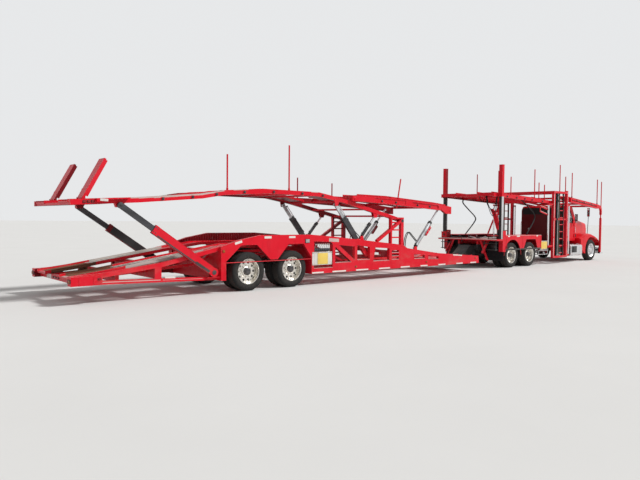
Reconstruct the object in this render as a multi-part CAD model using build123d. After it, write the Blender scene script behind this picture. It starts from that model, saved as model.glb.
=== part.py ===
from build123d import *
from math import atan2, cos, hypot, sin
import os

# Articulated car transporter: a conventional tractor that carries cars itself,
# and a two-deck trailer hinged low down behind the driven axles.
# Millimetres, +Z up, +Y to the left, +X forward.
# Stations along the vehicle are "u", the distance ahead of the rear trailer axle.

os.makedirs("parts", exist_ok=True)

# Driving dimensions
REAR_END = -4060
FRONT_END = 19440
HALF_WIDTH = 1295
TYRE_R = 460
RIM_R = 295
TYRE_WIDTH = 265
DUAL_PITCH = 320
TRAILER_AXLES = (0, 1302)
DRIVE_AXLES = (11655, 12961)
STEER_AXLE = 18475
HITCH_U = 9200
WHEEL_FACE = 1262
MID_U = (REAR_END + FRONT_END) / 2

# Lanes across the vehicle, for the left side: inner face and outer face
OUTER_LANE = (1205, HALF_WIDTH)
DECK_LANE = (1110, 1200)
GUARD_Y = 1281
GUARD_R = 10
RUNWAY = (480, 1045)


def box(u0, u1, y0, y1, z0, z1):
    return Pos((u0 + u1) / 2, (y0 + y1) / 2, (z0 + z1) / 2) * Box(u1 - u0, y1 - y0, z1 - z0)


def slab(points, y0, y1):
    """A plate with its outline in the X-Z plane, between two values of Y."""
    face = make_face(Plane.XZ * Polyline(*points, close=True))
    return Pos(0, y1, 0) * extrude(face, amount=y1 - y0, dir=(0, -1, 0))


def rail(top, depth, y0, y1):
    """A beam whose top edge follows the points and whose depth is constant."""
    bottom = [(u, z - depth) for u, z in reversed(top)]
    return slab(list(top) + bottom, y0, y1)


def strut(start, end, depth, y0, y1):
    """A straight bar between two points (u, z)."""
    run = end[0] - start[0]
    rise = end[1] - start[1]
    length = hypot(run, rise)
    du = -rise / length * depth / 2
    dz = run / length * depth / 2
    corners = [(start[0] + du, start[1] + dz), (end[0] + du, end[1] + dz),
               (end[0] - du, end[1] - dz), (start[0] - du, start[1] - dz)]
    return slab(corners, y0, y1)


def tube(start, end, radius):
    """A round bar between two points in space."""
    axis = Vector(*end) - Vector(*start)
    place = Plane(origin=start, z_dir=axis)
    return place * Cylinder(radius, axis.length, align=(Align.CENTER, Align.CENTER, Align.MIN))


def pin(u, z, radius, y0, y1):
    return tube((u, y0, z), (u, y1, z), radius)


def both(shape):
    """The shape and its mirror image on the other side of the vehicle."""
    return shape + mirror(shape, about=Plane.XZ)


def on_side(shape, which):
    """The shape on the left (1), on the right (-1) or on both sides (0)."""
    if which == 0:
        return both(shape)
    return shape if which == 1 else mirror(shape, about=Plane.XZ)


def along(start, end, distance, offset=0):
    """A point on the line from start, and offset to its upper side."""
    angle = atan2(end[1] - start[1], end[0] - start[0])
    side = 1 if end[0] > start[0] else -1
    return (start[0] + distance * cos(angle) - side * offset * sin(angle),
            start[1] + distance * sin(angle) + side * offset * cos(angle))


def height_at(points, u):
    """The height of a line of points (u, z) at station u."""
    for (u0, z0), (u1, z1) in zip(points, points[1:]):
        if min(u0, u1) <= u <= max(u0, u1):
            return z0 + (z1 - z0) * (u - u0) / (u1 - u0)
    return points[-1][1]


def save(name, shape):
    export_step(Pos(-MID_U, 0, 0) * shape, f"parts/{name}.step")


# Wheels
# Profiles are (radius, distance in from the outer sidewall).

HUB_R = 105
DISC_DEPTH = 140


def tyre_edge(start):
    """The outside of one tyre, from its outer bead to its inner bead."""
    return [(RIM_R, start + 30), (TYRE_R - 70, start), (TYRE_R - 12, start + 22),
            (TYRE_R, start + 42), (TYRE_R, start + TYRE_WIDTH - 42),
            (TYRE_R - 12, start + TYRE_WIDTH - 22), (TYRE_R - 70, start + TYRE_WIDTH),
            (RIM_R, start + TYRE_WIDTH - 30)]


def wheel_body(profile):
    face = make_face(Plane.XY * Polyline(*[(r, -t) for r, t in profile], close=True))
    return revolve(face, axis=Axis.Y)


def dual_wheel():
    """Two tyres on one hub, the outer rim dished deep around the hub."""
    inner_end = DUAL_PITCH + TYRE_WIDTH - 30
    profile = [(0, 20), (HUB_R - 15, 20), (HUB_R, 40), (HUB_R, DISC_DEPTH),
               (RIM_R - 45, DISC_DEPTH), (RIM_R - 25, 40), (RIM_R, 20)]
    profile += tyre_edge(0)
    profile += [(RIM_R - 20, TYRE_WIDTH - 20), (RIM_R - 20, DUAL_PITCH + 20)]
    profile += tyre_edge(DUAL_PITCH)
    profile += [(RIM_R - 30, inner_end), (RIM_R - 45, DUAL_PITCH + 120),
                (210, DUAL_PITCH + 120), (210, inner_end + 10), (0, inner_end + 10)]
    return wheel_body(profile)


def steer_wheel():
    """A single tyre on a shallow polished wheel whose centre stands out."""
    inner_end = TYRE_WIDTH - 30
    profile = [(0, -10), (HUB_R - 15, -10), (HUB_R, 10), (HUB_R + 10, 60),
               (RIM_R - 60, 75), (RIM_R - 25, 20), (RIM_R, 20)]
    profile += tyre_edge(0)
    profile += [(RIM_R - 30, inner_end), (RIM_R - 45, 170), (205, 170), (205, 190), (0, 190)]
    return wheel_body(profile)


WHEEL_INNER = DUAL_PITCH + TYRE_WIDTH - 20
for axle, stations in (("trailer", TRAILER_AXLES), ("drive", DRIVE_AXLES)):
    for number, station in enumerate(stations, start=1):
        left = Pos(station, WHEEL_FACE, TYRE_R) * dual_wheel()
        save(f"wheel_{axle}_{number}_left", left)
        save(f"wheel_{axle}_{number}_right", mirror(left, about=Plane.XZ))

STEER_FACE = 1200
KINGPIN_Y = 895
left = Pos(STEER_AXLE, STEER_FACE, TYRE_R) * steer_wheel()
save("wheel_steer_left", left)
save("wheel_steer_right", mirror(left, about=Plane.XZ))

# Trailer side frames
# The outline runs round the plate, the octagonal wheel arches included.

ARCH_TOP = 1089
ARCH_FOOT = 722
FRAME_TOP = [(-780, 1060), (-300, 1205), (328, 1318), (1885, 1315), (2607, 1261),
             (5475, 977), (5677, 873), (7188, 676), (9433, 515)]
FRAME_UNDER = [(9471, 274), (1910, 300), (1910, ARCH_FOOT), (1634, ARCH_TOP), (1159, ARCH_TOP),
               (820, ARCH_FOOT), (606, ARCH_FOOT), (200, ARCH_TOP), (-228, ARCH_TOP),
               (-648, ARCH_FOOT), (-648, 290), (-780, 290)]
FRAME_OPENINGS = [
    [(1990, 440), (1990, 1140), (2560, 1120), (2640, 1060), (2640, 440)],
    [(2733, 556), (2733, 985), (3340, 556)],
    [(2860, 1030), (3463, 975), (3463, 605)],
    [(3560, 600), (3560, 1010), (4060, 945), (4060, 600)],
    [(4200, 540), (4290, 925), (4880, 890), (4880, 540)],
    [(6003, 540), (6003, 690), (6515, 640), (6515, 540)],
    [(6686, 520), (6686, 625), (7211, 570), (7211, 490)],
]
LADDER_SLOTS = [(4985, 5300, 560 + 100 * step, 620 + 100 * step) for step in range(3)]

side = slab(FRAME_TOP + FRAME_UNDER, *OUTER_LANE)
for opening in FRAME_OPENINGS:
    side -= slab(opening, OUTER_LANE[0] - 5, OUTER_LANE[1] + 5)
for u0, u1, z0, z1 in LADDER_SLOTS:
    side -= box(u0, u1, OUTER_LANE[0] - 5, OUTER_LANE[1] + 5, z0, z1)
# Rail behind the wheels, set in so that the lifting arm passes outside it
REAR_TOP = [(REAR_END, 563), (-3460, 600), (-2150, 760), (-660, 1085)]
side += rail(REAR_TOP, 95, *DECK_LANE)
side += rail([(-3500, 455), (-660, 385)], 80, *DECK_LANE)
side += box(-2332, -2180, *DECK_LANE, 400, 730)
side += box(REAR_END, -3460, DECK_LANE[0], HALF_WIDTH, 381, 563)
side += box(-780, -648, DECK_LANE[0], HALF_WIDTH, 290, 1040)
ARM_FOOT = (-950, 490)
side += box(-1040, -700, DECK_LANE[0], DECK_LANE[1], 385, 545)
side += pin(*ARM_FOOT, 28, DECK_LANE[1] - 2, HALF_WIDTH - 10)
# Guard bar in front of the tyres
side += tube((-700, GUARD_Y, 690), (1950, GUARD_Y, 690), GUARD_R)
save("trailer_side_frames", both(side))

# Trailer floor: runways for the lower cars, cross members and kingpin plate

FLOOR_LINE = [(REAR_END + 40, 520), (-3400, 600), (-700, 1020), (-300, 1075), (1700, 1075),
              (2300, 950), (3600, 420), (4300, 380), (8250, 380), (8600, 460), (9420, 500)]
RUNWAY_THICKNESS = 36
LIP = 60
KINGPIN_PLATE_Z = 405
floor = rail(FLOOR_LINE, RUNWAY_THICKNESS, *RUNWAY)
lip_line = [(u, z + LIP - 20) for u, z in FLOOR_LINE]
floor += rail(lip_line, LIP, RUNWAY[0] - 12, RUNWAY[0])
floor += rail(lip_line, LIP, RUNWAY[1], RUNWAY[1] + 12)
floor = both(floor)
# Cross members: station, underside, top, half length
CROSS_MEMBERS = [
    (-3900, 400, 500, DECK_LANE[0]), (-3100, 400, 610, DECK_LANE[0]),
    (-2250, 420, 740, DECK_LANE[0]), (-714, 300, 980, DECK_LANE[0]),
    (650, 960, 1045, OUTER_LANE[0]), (1960, 300, 990, OUTER_LANE[0]),
    (2690, 300, 420, OUTER_LANE[0]), (3510, 300, 400, OUTER_LANE[0]),
    (4180, 290, 350, OUTER_LANE[0]), (5140, 290, 350, OUTER_LANE[0]),
    (6600, 285, 350, OUTER_LANE[0]), (7900, 285, 350, OUTER_LANE[0]),
]
for station, low, high, reach in CROSS_MEMBERS:
    floor += box(station - 40, station + 40, -reach, reach, low, high)
# Inner sills, low in the belly and raised over the axles
SILL_LINE = [(-3940, 480), (-1000, 690), (-760, 860), (2020, 860), (2200, 700), (3500, 380), (8400, 350)]
floor += both(rail(SILL_LINE, 70, 600, 670))
# Nose: a plate over the low hitch, between two side boxes
floor += box(8350, 9440, -700, 700, KINGPIN_PLATE_Z, KINGPIN_PLATE_Z + 20)
floor += both(box(8250, 8410, 0, OUTER_LANE[0], 300, 425))
floor += box(9330, 9440, -OUTER_LANE[0], OUTER_LANE[0], KINGPIN_PLATE_Z, 500)
floor += tube((HITCH_U, 0, 318), (HITCH_U, 0, KINGPIN_PLATE_Z + 10), 25.4)
save("trailer_floor", floor)

# Trailer axles, leaf springs and hangers

AXLE_END = WHEEL_FACE - WHEEL_INNER - 3
SPRING_Y = 510


def leaf_spring(station, z, y, reach=520):
    """A bowed stack of leaves, its ends held higher than its middle."""
    middle = [(station, z)]
    leaves = [(station - reach, z + 95), (station - reach / 2, z + 25)] + middle
    leaves += [(station + reach / 2, z + 25), (station + reach, z + 95)]
    return rail(leaves, 60, y - 38, y + 38)


axles = None
for station in TRAILER_AXLES:
    piece = tube((station, -AXLE_END, TYRE_R), (station, AXLE_END, TYRE_R), 64)
    piece += both(leaf_spring(station, TYRE_R + 125, SPRING_Y, 600))
    piece += both(box(station - 60, station + 60, SPRING_Y - 50, SPRING_Y + 50, TYRE_R, TYRE_R + 80))
    axles = piece if axles is None else axles + piece
for station in (-560, 651, 1860):
    axles += both(box(station - 45, station + 45, SPRING_Y - 45, SPRING_Y + 45, 600, 790))
save("trailer_axles", axles)

# Front ladder posts of the trailer, which carry the upper decks

DECK_PIVOT = (5440, 1690)
MID_ARM_FOOT = (3680, 1130)
MID_ARM_LANE = (1108, 1178)
MID_CYLINDER_FOOT = (3830, 1205)
FRONT_CYLINDER_FOOT = (6184, 860)
CYLINDER_Y = 1150
FOOT_PIN_R = 20
posts = box(5380, 5500, *OUTER_LANE, 900, 1760)
posts += box(4930, 4990, *OUTER_LANE, 900, 1790)
posts += strut((4370, 1100), (5400, 1690), 80, *OUTER_LANE)
posts -= slab(FRAME_TOP + [(9433, 0), (-780, 0)], OUTER_LANE[0] - 5, OUTER_LANE[1] + 5)
for z in (1180, 1400, 1620):
    posts += box(4980, 5390, 1225, 1265, z, z + 40)
posts += box(4920, 5500, *OUTER_LANE, 1740, 1790)
posts += pin(*DECK_PIVOT, 25, DECK_LANE[0] - 20, HALF_WIDTH - 5)
# Brackets inside the frame for the feet of the inner arms and the cylinders
posts += slab([(3590, 1010), (3630, 1180), (3730, 1180), (3770, 1010)], MID_ARM_LANE[1] + 6, OUTER_LANE[0])
posts += pin(*MID_ARM_FOOT, FOOT_PIN_R, MID_ARM_LANE[0], OUTER_LANE[0] - 5)
posts += strut((3752, 1046), (4060, 690), 120, 1125, OUTER_LANE[0])
for foot in (MID_CYLINDER_FOOT, FRONT_CYLINDER_FOOT):
    u, z = foot
    posts += slab([(u - 90, z - 150), (u - 50, z + 50), (u + 50, z + 50), (u + 90, z - 150)],
                  CYLINDER_Y + 34, OUTER_LANE[0])
    posts += pin(u, z, FOOT_PIN_R, CYLINDER_Y - 28, OUTER_LANE[0] - 5)
save("trailer_posts", both(posts))

# Main upper deck of the trailer

DECK_TOP = [(-4034, 2045), (-2678, 2125), (-1195, 2254), (-644, 2351), (445, 2433),
            (2203, 2418), (3101, 2275), (5089, 1850), (5540, 1745)]
DECK_DEPTH = 110
deck = rail(DECK_TOP, DECK_DEPTH, *DECK_LANE)
deck -= pin(*DECK_PIVOT, 26, DECK_LANE[0] - 10, DECK_LANE[1] + 10)
# The rail spreads outwards behind the lifting arm's head, and thins to a plate above it
ARM_HEAD = (-3080, 1950)
deck += slab([(-3560, 2073), (-3560, 2005), (-3340, 2015), (-3330, 2058), (-2900, 2086), (-2900, 2110)],
             1195, HALF_WIDTH)
deck += slab([(-3180, 2010), (-3140, 1908), (-3020, 1908), (-2960, 2020)], *DECK_LANE)
MID_ARM_HEAD = (2850, 2125)
deck += slab([(2760, 2260), (2800, 2075), (2900, 2075), (2950, 2235)], DECK_LANE[1] - 12, DECK_LANE[1] + 5)
MID_CYLINDER_HEAD = (4380, 1808)
for inner in (CYLINDER_Y - 42, CYLINDER_Y + 32):
    deck += slab([(4270, 1945), (4330, 1772), (4430, 1772), (4500, 1895)], inner, inner + 10)
deck = both(deck)
RUNWAY_TOP = [(u, z - 25) for u, z in DECK_TOP if u < 5000]
plank = rail(RUNWAY_TOP, RUNWAY_THICKNESS, *RUNWAY)
plank += rail([(u, z + 30) for u, z in RUNWAY_TOP], LIP, RUNWAY[0] - 10, RUNWAY[0])
plank += rail([(u, z + 30) for u, z in RUNWAY_TOP], LIP, RUNWAY[1], RUNWAY[1] + 10)
deck += both(plank)
for station in (-3980, -3100, -1900, -644, 445, 1400, 2203, 3101, 4000, 4850):
    z = height_at(DECK_TOP, station)
    deck += box(station - 35, station + 35, -DECK_LANE[0] - 5, DECK_LANE[0] + 5, z - 105, z - 55)
# Stakes that stand on the rails: station, top, which side (1 left, -1 right, 0 both)
TRAILER_STAKES = [(-540, 3180, -1), (1262, 3550, -1), (3400, 2980, 1)]
STAKE_R = 19
for station, top, which in TRAILER_STAKES:
    foot = height_at(DECK_TOP, station) - 40
    deck += on_side(tube((station, 1155, foot), (station, 1155, top), STAKE_R), which)
FRONT_DECK_PIVOT = (3450, 2290)
ears = slab([(3330, 2160), (3380, 2345), (3520, 2345), (3600, 2100)], DECK_LANE[0] + 30, DECK_LANE[1])
ears += pin(*FRONT_DECK_PIVOT, 25, DECK_LANE[1] - 5, HALF_WIDTH - 8)
deck += both(ears)
# Lugs and pins that the ramps turn on
RAMP_PIVOT = (-3730, 2085)
RAMP_Y = (742, 1040)
for inner in (RAMP_Y[0] - 18, RAMP_Y[1] + 6):
    deck += both(slab([(-3770, 1990), (-3760, 2100), (-3700, 2100), (-3690, 1990)], inner, inner + 12))
deck += both(pin(*RAMP_PIVOT, 12, RAMP_Y[0] - 18, RAMP_Y[1] + 18))
save("main_deck", deck)

# Front upper deck, which reaches over the hitch

FRONT_TOP = [(3365, 2372), (4941, 2345), (7210, 2215), (7850, 2160)]
FRONT_LANE = (1207, 1290)
front = slab(FRONT_TOP + [(7850, 1925), (7560, 1935), (7380, 2030), (4941, 2165), (3365, 2225)],
             *FRONT_LANE)
front -= pin(*FRONT_DECK_PIVOT, 26, FRONT_LANE[0] - 10, FRONT_LANE[1] + 10)
# The outer face is set back between the flanges, like a channel
front -= slab([(5900, 2260), (7180, 2186), (7180, 2088), (5900, 2155)], FRONT_LANE[1] - 26, FRONT_LANE[1] + 10)
front -= slab([(4250, 2325), (5600, 2292), (5600, 2180), (4250, 2235)], FRONT_LANE[1] - 14, FRONT_LANE[1] + 10)
front = both(front)
FRONT_RUNWAY = [(3760, 2400), (4941, 2390), (7210, 2262), (7850, 2206)]
plank = rail(FRONT_RUNWAY, RUNWAY_THICKNESS, *RUNWAY)
plank += rail([(u, z + 30) for u, z in FRONT_RUNWAY], LIP, RUNWAY[0] - 10, RUNWAY[0])
plank += rail([(u, z + 30) for u, z in FRONT_RUNWAY], LIP, RUNWAY[1], RUNWAY[1] + 10)
front += both(plank)
for station in (4100, 5300, 6500, 7780):
    z = height_at(FRONT_RUNWAY, station)
    front += box(station - 35, station + 35, -FRONT_LANE[0] - 5, FRONT_LANE[0] + 5, z - 100, z - 30)
FRONT_CYLINDER_HEAD = (7342, 2080)
front += both(pin(*FRONT_CYLINDER_HEAD, 24, CYLINDER_Y + 32, FRONT_LANE[0] + 10))
front += on_side(tube((4910, 1250, 2250), (4910, 1250, 2885), STAKE_R), 1)
front += on_side(tube((5212, 1250, 2050), (5390, 1250, 2930), STAKE_R), -1)
save("front_deck", front)

# Loading ramps that stand on the rear of the upper deck

RAMP_TOP = (-3295, 2880)
RAMP_THICKNESS = 45


def ramp(y0, y1):
    """A plate with a lip on each edge, cross ribs and a joint near its foot."""
    length = hypot(RAMP_TOP[0] - RAMP_PIVOT[0], RAMP_TOP[1] - RAMP_PIVOT[1])
    plate = strut(RAMP_PIVOT, RAMP_TOP, RAMP_THICKNESS, y0, y1)
    for edge in (y0, y1 - 16):
        start = along(RAMP_PIVOT, RAMP_TOP, 60, -30)
        plate += strut(start, along(RAMP_PIVOT, RAMP_TOP, length - 20, -30), 60, edge, edge + 16)
    for distance in range(300, 860, 130):
        rib = along(RAMP_PIVOT, RAMP_TOP, distance, -26)
        plate += strut(rib, along(RAMP_PIVOT, RAMP_TOP, distance + 30, -26), 24, y0, y1)
    plate += pin(*along(RAMP_PIVOT, RAMP_TOP, 190), 30, y0, y1)
    plate += pin(*RAMP_PIVOT, 24, y0, y1)
    return plate - pin(*RAMP_PIVOT, 14, y0 - 5, y1 + 5)


save("ramp_left", ramp(*RAMP_Y))
save("ramp_right", mirror(ramp(*RAMP_Y), about=Plane.XZ))

# Lifting arms at the rear: a foot tube with a sleeve, and the bar that slides in it

ARM_LANE = (1212, 1282)
SLEEVE_DEPTH = 185
BAR_DEPTH = 120
BORE_GAP = 4


def telescope(foot, head, lane, sleeve, bar, reach, hollow_from):
    """The foot tube of a telescoping arm, with a bore that its bar slides in."""
    outer = strut(foot, along(foot, head, reach), sleeve, *lane)
    outer += pin(*foot, sleeve * 0.55, *lane)
    outer -= strut(along(foot, head, hollow_from), along(foot, head, reach + 10), bar + 2 * BORE_GAP,
                   lane[0] + 12, lane[1] - 12)
    return outer


def telescope_bar(foot, head, lane, bar, start):
    inner = strut(along(foot, head, start), head, bar,
                  lane[0] + 12 + BORE_GAP, lane[1] - 12 - BORE_GAP)
    inner += pin(*head, bar / 2, *lane)
    return inner


arm = telescope(ARM_FOOT, ARM_HEAD, ARM_LANE, SLEEVE_DEPTH, BAR_DEPTH, 1740, 420)
arm -= pin(*ARM_FOOT, 29, ARM_LANE[0] - 10, ARM_LANE[1] + 10)
save("rear_arms", both(arm))
bar = telescope_bar(ARM_FOOT, ARM_HEAD, ARM_LANE, BAR_DEPTH, 980)
bar += pin(*ARM_HEAD, 26, DECK_LANE[1] + 5, ARM_LANE[0])
save("rear_arm_bars", both(bar))

# Middle arms and the short cylinders behind the ladder posts

arm = telescope(MID_ARM_FOOT, MID_ARM_HEAD, MID_ARM_LANE, 150, 95, 820, 170)
arm -= pin(*MID_ARM_FOOT, FOOT_PIN_R + 1, MID_ARM_LANE[0] - 10, MID_ARM_LANE[1] + 10)
save("mid_arms", both(arm))
bar = telescope_bar(MID_ARM_FOOT, MID_ARM_HEAD, MID_ARM_LANE, 95, 450)
bar += pin(*MID_ARM_HEAD, 24, MID_ARM_LANE[1] - 2, DECK_LANE[1] - 16)
save("mid_arm_bars", both(bar))

ROD_R = 30


def cylinder_barrel(foot, head, radius, length):
    """A barrel with an eye at its foot, bored for its rod."""
    start = along(foot, head, 110)
    end = along(foot, head, length)
    barrel = tube((start[0], CYLINDER_Y, start[1]), (end[0], CYLINDER_Y, end[1]), radius)
    barrel += pin(*foot, 42, CYLINDER_Y - 28, CYLINDER_Y + 28)
    barrel += tube((foot[0], CYLINDER_Y, foot[1]), (start[0], CYLINDER_Y, start[1]), 24)
    deep = along(foot, head, 160)
    mouth = along(foot, head, length + 10)
    barrel -= tube((deep[0], CYLINDER_Y, deep[1]), (mouth[0], CYLINDER_Y, mouth[1]), ROD_R + 0.5)
    return barrel - pin(*foot, FOOT_PIN_R + 1, CYLINDER_Y - 40, CYLINDER_Y + 40)


def cylinder_rod(foot, head, start):
    inside = along(foot, head, start)
    rod = tube((inside[0], CYLINDER_Y, inside[1]), (head[0], CYLINDER_Y, head[1]), ROD_R)
    return rod + pin(*head, 40, CYLINDER_Y - 26, CYLINDER_Y + 26)


# Each pair: name, foot, head, barrel radius, barrel length, where the rod starts
CYLINDERS = [
    ("mid", MID_CYLINDER_FOOT, MID_CYLINDER_HEAD, 42, 540, 300),
    ("front", FRONT_CYLINDER_FOOT, FRONT_CYLINDER_HEAD, 55, 1100, 560),
]
for name, foot, head, radius, length, start in CYLINDERS:
    save(f"{name}_cylinders", both(cylinder_barrel(foot, head, radius, length)))
    save(f"{name}_cylinder_rods", both(cylinder_rod(foot, head, start)))

# Chassis of the tractor: rails, cross members and the low neck that carries the hitch

RAIL_Y = (370, 440)
HOOD_PIVOT = (19230, 640)
CHASSIS_TOP = 850
RAIL_LINE = [(10700, CHASSIS_TOP), (16300, CHASSIS_TOP), (17600, 800), (19190, 800)]
chassis = both(rail(RAIL_LINE, 240, *RAIL_Y))
for station in (10760, 11655, 12961, 14300, 15800, 17300, 19130):
    z = height_at(RAIL_LINE, station)
    chassis += box(station - 50, station + 50, -RAIL_Y[0] - 5, RAIL_Y[0] + 5, z - 190, z - 40)
# Ears with the pins that the hood tilts on
ear = slab([(19180, 610), (19180, 668), (19225, 668), (19255, 655), (19255, 620), (19225, 605)], *RAIL_Y)
ear += pin(*HOOD_PIVOT, 18, RAIL_Y[0] + 10, 482)
chassis += both(ear)
NECK_Y = (200, 250)
neck = slab([(11100, 800), (10500, 800), (9900, 350), (8980, 350), (8980, 255), (10050, 255),
             (10900, 480), (11100, 480)], *NECK_Y)
chassis += both(neck)
for station, low, high in ((10700, 560, 760), (10250, 400, 540), (9800, 260, 345), (9010, 255, 350)):
    chassis += box(station - 35, station + 35, -NECK_Y[1] + 5, NECK_Y[1] - 5, low, high)
chassis += both(box(10950, 11050, NECK_Y[0], RAIL_Y[1], 620, 780))
NECK_TOP = [(9700, 362), (9900, 362), (10500, 812), (11090, 812)]
chassis += rail(NECK_TOP, 14, -NECK_Y[1], NECK_Y[1])
save("chassis_frame", chassis)

# Hitch plate: round, with a throat that opens to the rear
PLATE_TOP = KINGPIN_PLATE_Z - 5
plate = Pos(HITCH_U, 0, (350 + PLATE_TOP) / 2) * Cylinder(430, PLATE_TOP - 350)
throat = slab([(HITCH_U, 340), (HITCH_U, 410), (HITCH_U - 500, 410), (HITCH_U - 500, 340)], -27, 27)
plate -= throat
wedge = make_face(Plane.XY * Polyline((HITCH_U - 120, 0), (HITCH_U - 600, 190),
                                      (HITCH_U - 600, -190), close=True))
plate -= Pos(0, 0, 340) * extrude(wedge, amount=80, dir=(0, 0, 1))
plate -= tube((HITCH_U, 0, 340), (HITCH_U, 0, 410), 27)
save("hitch_plate", plate)

# Driven axles and their suspension

drive = None
for station in DRIVE_AXLES:
    piece = tube((station, -AXLE_END, TYRE_R), (station, AXLE_END, TYRE_R), 70)
    piece += Pos(station, 0, TYRE_R) * Sphere(185)
    piece += both(rail([(station - 420, 590), (station, 560), (station + 420, 590)], 60, 480, 560))
    piece += both(box(station - 60, station + 60, 470, 570, TYRE_R, 535))
    drive = piece if drive is None else drive + piece
drive += both(box(12250, 12370, 441, 570, 480, 760))
drive += tube((11840, 0, TYRE_R + 10), (12800, 0, TYRE_R + 10), 45)
drive += tube((13130, 0, TYRE_R + 10), (17200, 0, 640), 45)
save("drive_axles", drive)

# Steered axle, its springs, and the two knuckles

SPRING_LINE = [(17800, 535), (18200, 500), (18750, 500), (19150, 535)]
steer = box(STEER_AXLE - 50, STEER_AXLE + 50, -KINGPIN_Y + 58, KINGPIN_Y - 58, 365, 458)
steer += both(rail(SPRING_LINE, 42, *RAIL_Y))
for station in (17830, 19120):
    steer += both(box(station - 30, station + 30, *RAIL_Y, 500, 560))
save("steer_axle", steer)

knuckle = tube((STEER_AXLE, KINGPIN_Y, 320), (STEER_AXLE, KINGPIN_Y, 545), 55)
knuckle += tube((STEER_AXLE, KINGPIN_Y, TYRE_R), (STEER_AXLE, STEER_FACE - 193, TYRE_R), 45)
knuckle += box(STEER_AXLE - 260, STEER_AXLE, KINGPIN_Y - 25, KINGPIN_Y + 25, 322, 352)
save("knuckle_left", knuckle)
save("knuckle_right", mirror(knuckle, about=Plane.XZ))

# Cab: one hollow shell with its windows and door openings cut

CAB_HALF = 970
CAB_WALL = 40
CAB_REAR = 16250
CAB_SIDE = [(CAB_REAR, 900), (CAB_REAR, 2300), (CAB_REAR + 80, 2390), (16850, 2430),
            (17000, 2390), (17340, 1850), (17340, 900)]

shell = slab(CAB_SIDE, -CAB_HALF, CAB_HALF)
roof_edges = shell.edges().filter_by(lambda e: e.center().Z > 2300 and abs(e.center().Y) > CAB_HALF - 5)
shell = fillet(roof_edges, 70)
CAB_INSIDE = [(CAB_REAR + 40, 940), (CAB_REAR + 40, 2290), (CAB_REAR + 100, 2350), (16840, 2390),
              (16975, 2355), (17300, 1840), (17300, 940)]
shell -= slab(CAB_INSIDE, -CAB_HALF + CAB_WALL, CAB_HALF - CAB_WALL)
DOOR = [(16330, 960), (16330, 2270), (16890, 2270), (17235, 1760), (17235, 960)]
DOOR_WINDOW = [(16400, 1680), (16400, 2200), (16850, 2200), (17130, 1790), (17130, 1680)]
shell -= slab(DOOR, CAB_HALF - 60, CAB_HALF + 60)
shell -= slab(DOOR, -CAB_HALF - 60, -CAB_HALF + 60)
screen_low = along((17340, 1850), (17000, 2390), 60)
screen_high = along((17340, 1850), (17000, 2390), 560)
opening = strut(screen_low, screen_high, 160, -CAB_HALF + 110, CAB_HALF - 110)
shell -= opening
shell += box(16700, 17310, -200, 200, 920, 1180)
# Hinge barrels: heights of the door's barrels, with the shell's above and below each
HINGE_U = 17232
HINGE_Y = CAB_HALF + 12
HINGE_HEIGHTS = (1130, 1600)
HINGE_HALF = 30
for z in HINGE_HEIGHTS:
    for low in (z - 3 * HINGE_HALF, z + HINGE_HALF + 3):
        high = low + 2 * HINGE_HALF - 3
        leaf = tube((HINGE_U, HINGE_Y, low), (HINGE_U, HINGE_Y, high), 10)
        leaf += box(HINGE_U, HINGE_U + 45, CAB_HALF - 2, HINGE_Y + 2, low, high)
        leaf -= box(HINGE_U - 20, HINGE_U + 3, CAB_HALF - 5, CAB_HALF, low, high)
        shell += both(leaf)
save("cab_shell", shell)

glass = strut(along((17340, 1850), (17000, 2390), 64, -18), along((17340, 1850), (17000, 2390), 556, -18),
              8, -CAB_HALF + 114, CAB_HALF - 114)
save("cab_glass", glass)

# Doors, each as thick as the wall, with a window pane and a mirror on an arm

door_outline = [(16336, 966), (16336, 2264), (16887, 2264), (17229, 1758), (17229, 966)]
door = slab(door_outline, CAB_HALF - CAB_WALL, CAB_HALF)
door -= slab(DOOR_WINDOW, CAB_HALF - CAB_WALL - 5, CAB_HALF + 5)
door += box(16400, 16520, CAB_HALF, CAB_HALF + 25, 1540, 1570)
for z in HINGE_HEIGHTS:
    door += tube((HINGE_U, HINGE_Y, z - HINGE_HALF), (HINGE_U, HINGE_Y, z + HINGE_HALF), 10)
    door += box(HINGE_U - 60, HINGE_U, CAB_HALF - 2, HINGE_Y + 4, z - HINGE_HALF, z + HINGE_HALF)
    door -= box(HINGE_U - 3, HINGE_U + 20, CAB_HALF - 5, CAB_HALF + 1, z - 40, z + 40)
door += strut((17090, 1640), (17140, 1800), 22, CAB_HALF - 4, CAB_HALF + 22)
door += tube((17140, CAB_HALF + 10, 1800), (17140, CAB_HALF + 130, 1800), 11)
door += box(17122, 17162, CAB_HALF + 80, CAB_HALF + 190, 1750, 2050)
save("door_left", door)
save("door_right", mirror(door, about=Plane.XZ))
pane = slab([(16400, 1680), (16400, 2200), (16850, 2200), (17130, 1790), (17130, 1680)],
            CAB_HALF - 24, CAB_HALF - 18)
save("door_glass_left", pane)
save("door_glass_right", mirror(pane, about=Plane.XZ))

# Inside the cab: two seats, dashboard and steering wheel

interior = None
for y in (-480, 480):
    seat = box(16420, 16900, y - 240, y + 240, 941, 1090)
    seat += box(16400, 16900, y - 250, y + 250, 1080, 1240)
    seat += strut((16460, 1200), (16360, 1850), 110, y - 240, y + 240)
    interior = seat if interior is None else interior + seat
interior += box(17060, 17299, -CAB_HALF + CAB_WALL + 6, CAB_HALF - CAB_WALL - 6, 1350, 1700)
column = tube((17080, 480, 1500), (16950, 480, 1560), 25)
wheel_place = Plane(origin=(16950, 480, 1560), z_dir=(-0.9, 0, 0.42))
steering = wheel_place * (Torus(210, 16) + Box(400, 36, 14) + Cylinder(60, 20))
interior += column + steering
save("cab_interior", interior)

# Hood with its fenders, one piece that tilts forward


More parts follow.
